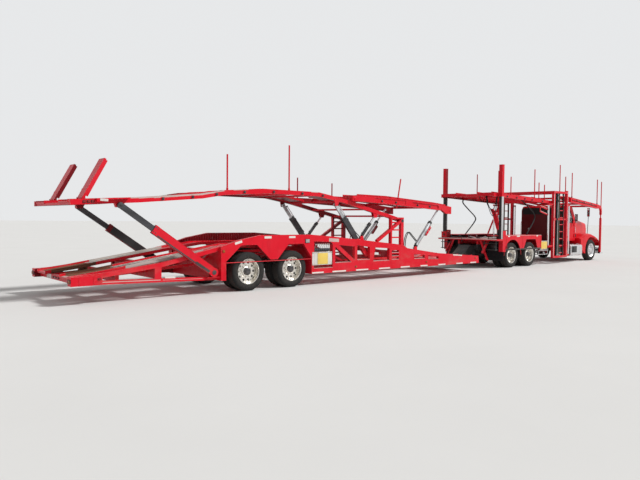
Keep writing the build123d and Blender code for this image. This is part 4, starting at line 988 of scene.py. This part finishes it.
# From, to, depth
WORN_RAIL = ((-2.85, -2.678, 0.020), (-2.678, -2.35, 0.028), (-2.35, -1.80, 0.038), (-1.80, -1.195, 0.034),
             (-1.195, -0.90, 0.030), (-0.90, -0.644, 0.022), (-0.40, 0.02, 0.014), (1.95, 2.20, 0.016))
shape = Shape("white")
shape.bar((-3.500, 2.050), (-3.345, 2.042), 0.050, 1.300, 1.302)
shape.use("worn")
for u0, u1, depth in WORN_RAIL:
    shape.bar(on(DECK_TOP, u0, -depth / 2), on(DECK_TOP, u1, -depth / 2), depth, RAIL_Y, RAIL_WEAR_Y)
for u in (-3.770, -3.690, -3.610):
    top = slope(DECK_TOP, u)
    shape.use("trim")
    shape.box(u - 0.030, u + 0.030, RAIL_Y, 1.212, top - 0.082, top - 0.030, 0.003)
    shape.use("red_lens")
    shape.box(u - 0.022, u + 0.022, 1.210, 1.220, top - 0.075, top - 0.037, 0.004)
dress("main_deck_patches", shape, "main_deck")

shape = Shape("red_deck")
for u, y, reach in ((4.55, 1.276, 0.030), (5.15, 1.276, 0.030), (6.15, 1.264, 0.036), (6.75, 1.264, 0.036)):
    ratchet(shape, u, y, slope(FRONT_TOP, u) - 0.105, reach)
pivot(shape, 7.780, 1.290, 2.035, 0.048)
pivot(shape, 7.342, 1.290, 2.080, 0.030)
collar(shape, 4.910, 1.250, 2.345, 1)
dress("front_deck_ratchets", shape, "front_deck")

shape = Shape("red_deck")
for u in (11.45, 12.10, 12.70, 13.25, 14.05):
    ratchet(shape, u, 1.150, slope(UPPER_RAIL, u) - 0.075)
for u, side in ((11.760, -1), (12.920, 1), (13.500, -1), (13.840, -1), (14.280, -1), (14.530, 1)):
    collar(shape, u, 1.110, slope(UPPER_RAIL, u), side)
shape.box(10.857, 10.993, 1.158, 1.302, 3.738, 3.748)
dress("tractor_deck_ratchets", shape, "tractor_upper_deck")

# Straps that hang in loops under the rear of the tractor's upper deck
shape = Shape("hose", NEAR)
for shift, low in ((0.0, 1.93), (0.035, 2.06), (-0.03, 2.15)):
    shape.path([(10.86 + shift, 0.66, 2.640), (10.85 + shift, 0.72, 2.330), (10.87 + shift, 0.88, low),
                (10.87 + shift, 1.02, low + 0.08), (10.86 + shift, 1.10, 2.640)], 0.011, 8, 8)
shape.path([(10.88, 0.30, 2.680), (10.89, 0.46, 2.43), (10.88, 0.66, 2.680)], 0.011, 8, 8)
dress("hanging_hoses", shape, "tractor_upper_deck")

NEAR_HOSE = [(12.616, 2.522), (13.071, 2.303), (13.540, 2.038), (13.626, 1.842), (13.406, 1.565),
             (13.112, 1.292), (13.000, 1.120)]
FAR_HOSE = [(11.640, 2.560), (11.639, 2.414), (12.057, 2.144), (12.486, 1.867), (12.422, 1.663),
            (11.812, 1.180), (11.700, 1.060)]
for name, line, y in (("near", NEAR_HOSE, -1.060), ("far", FAR_HOSE, 0.900)):
    shape = Shape("hose", ONCE)
    for shift in (0.0, 0.03):
        shape.path([(u + shift, y, z) for u, z in line], 0.0165, 10, 10)
    span(f"deck_hoses_{name}", shape, "tractor_upper_deck", "tractor", with_y(line[0], y),
         with_y(line[-1], y), "black_hose")


# Rear of the tractor: arm beside the near post, box, tanks, steps, flaps, chains and hooks

POST_PLANE = 10.995
# y, height, half width
POST_ARM = [(0.800, 2.150, 0.060), (0.900, 2.020, 0.085), (0.985, 1.800, 0.085), (1.030, 1.560, 0.060),
            (1.060, 1.400, 0.030)]
shape = Shape("red_frame", NEAR)
shape.post([(POST_PLANE - 0.025, POST_PLANE + 0.025, y - half, y + half, z) for y, z, half in POST_ARM])
shape.use("black")
shape.lathe((POST_PLANE + 0.06, 1.015, 1.070), (0, 0.071, 0.510),
            [(0.040, 0.0), (0.040, 0.56), (0.046, 0.565), (0.046, 0.60), (0.03, 0.605)], 20)
shape.use("chrome")
shape.rod((POST_PLANE, 0.912, 1.068), (POST_PLANE, 0.898, 1.900), 0.016, 16)
shape.rod((POST_PLANE + 0.06, 1.080, 1.640), (POST_PLANE + 0.03, 1.060, 1.930), 0.018, 16)
dress("post_arm", shape, "tractor")

shape = Shape("red_frame")
shape.box(10.625, 10.860, 0.920, 1.165, 1.062, 1.290, 0.012, ONCE)
shape.box(10.615, 10.868, 0.912, 1.172, 1.262, 1.298, 0.008, ONCE)
shape.post([(10.610, 10.650, y - 0.035, y + 0.035, z) for y, z in ((0.588, 0.998), (0.893, 0.291))])
shape.use("black")
shape.box(10.608, 10.618, 1.010, 1.075, 1.150, 1.215, 0.003, ONCE)
for z in (0.660, 0.890):
    shape.box(10.630, 10.800, 0.69, 1.19, z, z + 0.022, 0.004)
for y in (0.700, 1.170):
    shape.box(10.700, 10.745, y - 0.008, y + 0.008, 0.640, 1.005, 0.002)
shape.lathe((10.870, 0.950, 0.800), (1, 0, 0), [(0.030, -0.045), (0.070, -0.030), (0.090, 0.0), (0.090, 0.20),
                                                (0.070, 0.230), (0.030, 0.245)], 28)
dress("rear_steps_and_tanks", shape, "tractor")

# Flaps behind the driven wheels, hung from a pipe, and the cover of the guard bar before them
shape = Shape("hose")
shape.post([(u, u + 0.012, 0.600, 1.255, z) for u, z in ((11.070, 0.985), (11.068, 0.80), (11.074, 0.60),
                                                          (11.066, 0.42), (11.054, 0.265))])
shape.use("black")
shape.box(11.062, 11.090, 0.590, 1.265, 0.975, 1.015, 0.003)
for y in (0.66, 0.80, 0.94, 1.08, 1.20):
    shape.nut((11.062, y, 0.995), (-1, 0, 0), 0.009, 0.008)
shape.box(11.160, 13.740, 1.268, 1.294, 0.645, 0.700, 0.008)
for y in (0.64, 1.22):
    shape.box(11.066, 11.086, y - 0.012, y + 0.012, 1.010, 1.170, 0.002)
dress("drive_flaps", shape, "tractor")

shape = Shape("steel")
shape.chain([(10.640, -0.870, 1.112), (10.680, -0.760, 1.150), (10.640, -0.640, 1.098),
             (10.700, -0.520, 1.108)])
shape.chain([(10.720, -0.300, 1.098), (10.650, -0.160, 1.140), (10.690, -0.020, 1.098)])
dress("deck_chain_near", shape, "tractor")
shape = Shape("grease")
shape.chain([(10.760, 0.100, 1.098), (10.670, 0.240, 1.100), (10.740, 0.380, 1.150), (10.640, 0.480, 1.098),
             (10.720, 0.600, 1.104)])
shape.chain([(10.598, 0.200, 1.075), (10.585, 0.200, 0.900)])
dress("deck_chain_far", shape, "tractor")

shape = Shape("grease", ONCE)
for y in (-0.42, -0.08, 0.70):
    shape.path([(10.620, y, 1.078), (10.640, y + 0.02, 1.160), (10.700, y + 0.05, 1.200),
                (10.760, y + 0.06, 1.130), (10.780, y + 0.04, 1.075)], 0.011, 10, 6)
    shape.box(10.770, 10.860, y - 0.02, y + 0.10, 1.062, 1.110, 0.006)
dress("deck_hooks", shape, "tractor")


# Sides of the tractor: tapes, brackets, plate, steps, tank straps

FENDER_Y = 1.292
TOWER_Y = 1.290
BRACKET_Y = (1.190, 1.214)

shape = Shape("tape_white")
for u0, u1 in ((11.33, 11.45), (11.93, 12.15), (13.38, 13.50)):
    shape.bar((u0, 1.160), (u1, 1.160), 0.050, FENDER_Y, FENDER_Y + TAPE)
for u0, u1 in ((14.757, 14.782), (15.936, 15.953)):
    for z0, z1 in ((0.34, 1.05), (1.12, 1.76), (1.88, 2.84)):
        shape.box(u0, u1, TOWER_Y, TOWER_Y + TAPE, z0, z1)
for z in (0.450 + 0.290 * step for step in range(9)):
    shape.box(15.276, 15.574, 1.234, 1.266, z, z + 0.002)
shape.box(10.5975, 10.6000, -1.285, 1.285, 1.038, 1.060, 0.0, ONCE)
shape.use("worn")
shape.box(11.190, 13.770, FENDER_Y, FENDER_Y + 0.0015, 1.176, 1.189)
shape.sides = NEAR
for start, end in (((13.795, 2.352), (14.380, 2.239)), ((13.800, 2.142), (14.380, 2.023))):
    shape.bar(start, end, 0.016, BRACKET_Y[1], BRACKET_Y[1] + 0.0025)
dress("tractor_tapes", shape, "tractor")

shape = Shape("red_frame", NEAR)
shape.bar((13.780, 2.328), (14.390, 2.211), 0.070, *BRACKET_Y)
shape.bar((13.789, 2.120), (14.390, 2.000), 0.060, *BRACKET_Y)
shape.box(13.782, 13.822, *BRACKET_Y, 2.100, 2.330, 0.003)
# Stays of the fender boxes, and their weld line round the rear driven wheel
shape.sides = BOTH
for u in (11.24, 12.36, 13.72):
    shape.box(u - 0.012, u + 0.012, FENDER_Y, 1.298, 0.70, 1.14, 0.002)
arc = [(11.655 + 0.583 * math.cos(angle), TYRE_R + 0.583 * math.sin(angle))
       for angle in (math.radians(12 * step) for step in range(16))]
for first, last in zip(arc, arc[1:]):
    shape.bar(first, last, 0.014, FENDER_Y, 1.296)
dress("tractor_brackets", shape, "tractor")

BACKING_Y = 1.268
shape = Shape("steel", NEAR)
shape.box(13.720, 14.290, 1.262, BACKING_Y, 0.620, 0.940, 0.002)
for z in (0.612, 0.942):
    shape.box(13.715, 14.375, 1.232, 1.272, z - 0.010, z + 0.010, 0.002)
shape.bolts([(u, z) for u in (13.750, 14.258) for z in (0.650, 0.910)], BACKING_Y + 0.0035, 0.009, 0.007)
shape.use("yellow")
shape.box(13.735, 14.275, BACKING_Y, BACKING_Y + 0.0035, 0.633, 0.927, 0.002)
dress("tractor_placards", shape, "tractor")

shape = Shape("alloy")
for z, depth in ((0.560, 1.080), (0.412, 1.120)):
    shape.box(13.570, 14.320, depth, 1.288, z, z + 0.016, 0.003)
    for u in (13.60 + 0.06 * k for k in range(12)):
        shape.box(u, u + 0.030, depth + 0.015, 1.280, z + 0.016, z + 0.020)
for u in (13.590, 14.300):
    shape.box(u - 0.010, u + 0.010, 1.090, 1.110, 0.412, 0.760, 0.002)
    shape.box(u - 0.010, u + 0.010, 1.268, 1.286, 0.412, 0.575, 0.002)
for u0 in (16.42, 16.98):
    shape.box(u0, u0 + 0.38, 0.860, 1.170, 0.742, 0.750, 0.002)
    for u in (u0 + 0.02 + 0.04 * k for k in range(9)):
        shape.box(u, u + 0.015, 0.870, 1.160, 0.750, 0.753)
dress("side_steps", shape, "tractor")

TANK = (0.760, 1.268, 0.268, 0.742)
TANK_CORNER = 0.095
TANK_FACE_Y = 1.272


def tank_outline(u, grow):
    """The tank's section at station u, drawn outwards by grow."""
    y0, y1, z0, z1 = TANK
    points = []
    for y, z, turn in ((y1 - TANK_CORNER, z1 - TANK_CORNER, 0), (y0 + TANK_CORNER, z1 - TANK_CORNER, 1),
                       (y0 + TANK_CORNER, z0 + TANK_CORNER, 2), (y1 - TANK_CORNER, z0 + TANK_CORNER, 3)):
        for angle in (math.pi / 2 * (turn + step / 6) for step in range(7)):
            radius = TANK_CORNER + grow
            points.append((u, y + radius * math.cos(angle), z + radius * math.sin(angle)))
    return points


shape = Shape("chrome")
for u, half, grow in ((16.560, 0.028, 0.004), (17.180, 0.028, 0.004), (16.334, 0.006, 0.003),
                      (17.396, 0.006, 0.003)):
    shape.rings([tank_outline(u - half, -0.002), tank_outline(u - half, grow), tank_outline(u + half, grow),
                 tank_outline(u + half, -0.002)], closed=True)
shape.lathe((17.290, 1.120, 0.735), (0, 0.35, 1),
            [(0.052, 0.0), (0.052, 0.012), (0.060, 0.014), (0.060, 0.034), (0.050, 0.040), (0.0, 0.042)], 24)
shape.use("black")
shape.box(16.420, 16.900, 1.262, TANK_FACE_Y, 0.410, 0.680, 0.004)
for z in (0.440 + 0.048 * k for k in range(5)):
    shape.box(16.450, 16.870, TANK_FACE_Y, TANK_FACE_Y + 0.003, z, z + 0.012)
shape.use("steel")
shape.bolts([(16.560, 0.300), (17.180, 0.300)], TANK_FACE_Y, 0.010, 0.012)
dress("tank_fittings", shape, "tractor")

# In and on the towers: guide rods of the chains, pulleys, bolts, hydraulic pipes
shape = Shape("steel")
for u in (15.158, 15.185):
    shape.rod((u, 1.250, 0.325), (u, 1.250, 2.865), 0.007, 8)
for z in (0.360, 2.800):
    shape.drum(15.165, 1.238, z, [(0.052, 0.0), (0.044, 0.006), (0.044, 0.018), (0.052, 0.024)])
shape.bolts([(u, z) for u in (14.780, 14.840, 15.870, 15.930)
             for z in (0.262, 0.296, 2.890, 2.940, 1.800, 1.830)], TOWER_Y, 0.009, 0.008)
shape.use("black")
for u in (14.910, 14.935):
    shape.path([(u, 1.235, 0.330), (u, 1.235, 1.500), (u, 1.235, 2.400), (u + 0.03, 1.235, 2.430)], 0.008)
for z in (0.70, 1.30, 2.10):
    shape.box(14.866, 14.960, 1.225, 1.248, z, z + 0.03, 0.003)
dress("tower_fittings", shape, "tractor")

# Cab: window seals, mirrors, handles, grab bars, wipers, roof lamps, working lamp, visor

DOOR_WINDOW = [(16.400, 1.680), (16.400, 2.200), (16.850, 2.200), (17.130, 1.790), (17.130, 1.680)]
CAB_SIDE_Y = 0.970
HANDLE_Y = 1.000
for side, sign in SIDES:
    shape = Shape("trim", (sign,))
    shape.loop([with_y(point, CAB_SIDE_Y) for point in DOOR_WINDOW], 0.009, 8)
    for u, z in DOOR_WINDOW:
        shape.drum(u, CAB_SIDE_Y - 0.002, z, [(0.012, 0.0), (0.009, 0.009)], 10)
    shape.box(17.085, 17.122, 1.055, 1.155, 1.755, 1.775, 0.003)
    shape.use("chrome")
    shape.box(17.1175, 17.1225, 1.058, 1.152, 1.785, 2.040, 0.002)
    shape.lathe((17.118, 1.105, 1.700), (-1, 0, 0), [(0.042, -0.012), (0.046, 0.0), (0.040, 0.004)], 24)
    shape.drum(16.545, CAB_SIDE_Y, 1.500, [(0.014, 0.0), (0.014, 0.006), (0.008, 0.007)], 14)
    shape.path([(16.405, HANDLE_Y - 0.004, 1.540), (16.405, HANDLE_Y, 1.556), (16.515, HANDLE_Y, 1.556),
                (16.515, HANDLE_Y - 0.004, 1.540)], 0.006, 8, 3)
    dress(f"door_trim_{side}", shape, f"door_{side}")

shape = Shape("chrome")
shape.path([(16.285, 0.965, 1.020), (16.285, 1.010, 1.040), (16.285, 1.010, 1.660), (16.285, 0.965, 1.680)],
           0.013, 12)
shape.path([(17.290, 0.965, 1.250), (17.290, 1.000, 1.265), (17.290, 1.000, 1.480), (17.290, 0.965, 1.500)],
           0.011, 12)
shape.use("trim")
for y in (0.080, 0.560):
    shape.path([(17.345, y, 1.880), (17.330, y + 0.05, 1.915), (17.225, y + 0.20, 2.085)], 0.006)
    shape.path([(17.300, y + 0.02, 1.955), (17.222, y + 0.19, 2.085), (17.150, y + 0.30, 2.205)], 0.007, 6)
for y in (-0.55, -0.28, 0.0, 0.28, 0.55):
    shape.use("trim")
    shape.box(16.870, 16.975, y - 0.055, y + 0.055, 2.405, 2.428, 0.008, ONCE)
    shape.use("amber")
    shape.box(16.885, 16.962, y - 0.042, y + 0.042, 2.420, 2.446, 0.012, ONCE)
for finish, u, profile in (("black", 16.252, [(0.052, 0.0), (0.052, 0.020), (0.044, 0.024)]),
                           ("clear_lens", 16.230, [(0.044, 0.0), (0.040, 0.010), (0.0, 0.016)])):
    shape.use(finish)
    shape.lathe((u, 0.599, 1.393), (-1, 0, 0), profile, 24, ONCE)
# Sun visor over the screen
shape.use("red")
shape.sides = ONCE
shape.rings([[(16.990, y, 2.405), (17.100, y, 2.310), (17.098, y, 2.303), (16.984, y, 2.396)]
             for y in (-0.86, 0.86)])
dress("cab_trim", shape, "tractor")

# Hood and front
GRILLE = [(-0.430, 0.720), (0.430, 0.720), (0.430, 1.390), (-0.430, 1.390)]
shape = Shape("chrome")
shape.loop([(19.412, y, z) for y, z in GRILLE], 0.012, 12, ONCE)
for y, z in GRILLE:
    shape.lathe((19.400, y, z), (1, 0, 0), [(0.013, 0.0), (0.013, 0.022), (0.006, 0.026)], 12, ONCE)
shape.box(18.2455, 18.2505, 1.080, 1.167, 1.975, 2.325, 0.002)
shape.loop([(19.434, 0.800, 0.662), (19.434, 1.050, 0.662), (19.416, 1.050, 0.782), (19.416, 0.800, 0.782)],
           0.008, 10)
shape.use("trim")
for u in (17.520, 17.560):
    shape.box(u - 0.012, u + 0.012, 0.881, 0.905, 1.060, 1.180, 0.003)
shape.use("amber")
shape.lathe((18.880, 1.165, 0.985), (0, 1, 0.25),
            [(0.045, 0.0), (0.042, 0.012), (0.020, 0.020), (0.0, 0.021)], 20)
dress("hood_trim", shape, "hood")

shape = Shape("chrome")
shape.lathe((19.436, 0.860, 0.450), (1, 0, 0), [(0.062, 0.0), (0.066, 0.010), (0.056, 0.012)], 28)
shape.use("clear_lens")
shape.lathe((19.440, 0.860, 0.450), (1, 0, 0), [(0.056, 0.0), (0.052, 0.012), (0.0, 0.020)], 28)
shape.use("steel")
for z in (0.36, 0.53):
    shape.nut((19.440, 0.520, z), (1, 0, 0), 0.014, 0.012)
dress("bumper_trim", shape, "tractor")

# Rack over cab and hood: winches on its rails, collars and bolts at its ends
shape = Shape("black")
for u in (16.75, 17.45, 18.15):
    top = slope(RACK_TOP, u)
    shape.box(u - 0.03, u + 0.03, 1.290, 1.296, top - 0.075, top - 0.020, 0.002)
    shape.drum(u, 1.294, top - 0.048, [(0.020, 0.0), (0.020, 0.010), (0.010, 0.014)], 12)
for u in (16.360, 18.820):
    collar(shape, u, 1.250, slope(RACK_TOP, u), -1)
shape.bolts([(19.230, 2.115), (19.230, 2.200)], 1.290, 0.010, 0.008)
dress("head_rack_fittings", shape, "head_rack")


# Camera, lamps and floor

CAMERA = (-15.313, -12.492, 1.678)
YAW = 0.8514
PITCH = 0.0340
ROLL = 0.0087
LENS = 32.2

ahead = Vector((math.cos(PITCH) * math.cos(YAW), math.cos(PITCH) * math.sin(YAW), -math.sin(PITCH)))
level = Vector((math.sin(YAW), -math.cos(YAW), 0.0))
above = level.cross(ahead)
right = level * math.cos(ROLL) + above * math.sin(ROLL)
above = above * math.cos(ROLL) - level * math.sin(ROLL)
camera = link("camera", bpy.data.cameras.new("camera"))
camera.data.lens = LENS
camera.data.sensor_width = 36.0
camera.data.clip_end = 1000.0
camera.matrix_world = Matrix.Translation(CAMERA) @ Matrix((right, above, -ahead)).transposed().to_4x4()
bpy.context.scene.camera = camera

sun = link("key", bpy.data.lights.new("key", "SUN"))
sun.data.energy = 2.9
sun.data.angle = math.radians(9)
sun.rotation_euler = Vector((0.62, -0.60, 0.80)).to_track_quat("Z", "Y").to_euler()

BACKGROUND = (0.80, 0.81, 0.82)
FILL = 0.50
world = bpy.data.worlds.new("studio")
bpy.context.scene.world = world
world.use_nodes = True
tree = world.node_tree
tree.nodes.clear()
rays = add_node(tree, "ShaderNodeLightPath").outputs
seen = rays["Is Camera Ray"]
for kind in ("Is Glossy Ray", "Is Transmission Ray"):
    seen = add_node(tree, "ShaderNodeMath", {0: seen, 1: rays[kind]}, operation="MAXIMUM").outputs[0]
fill = add_node(tree, "ShaderNodeBackground", {"Color": BACKGROUND, "Strength": FILL})
pale = add_node(tree, "ShaderNodeBackground", {"Color": BACKGROUND})
choose = add_node(tree, "ShaderNodeMixShader", {0: seen, 1: fill.outputs[0], 2: pale.outputs[0]})
add_node(tree, "ShaderNodeOutputWorld", {"Surface": choose.outputs[0]})

floor_mesh = bmesh.new()
bmesh.ops.create_grid(floor_mesh, x_segments=4, y_segments=4, size=400)
floor = link("floor", bpy.data.meshes.new("floor"))
floor_mesh.to_mesh(floor.data)
floor_mesh.free()
ground = Finish("floor_pale", Roughness=0.9, Specular_IOR_Level=0.2)
tone = ground.mix(ground.noise(0.35, 6), (0.70, 0.69, 0.67), (0.76, 0.75, 0.73))
floor.data.materials.append(ground.done(tone))

bpy.context.scene.view_settings.view_transform = "Standard"
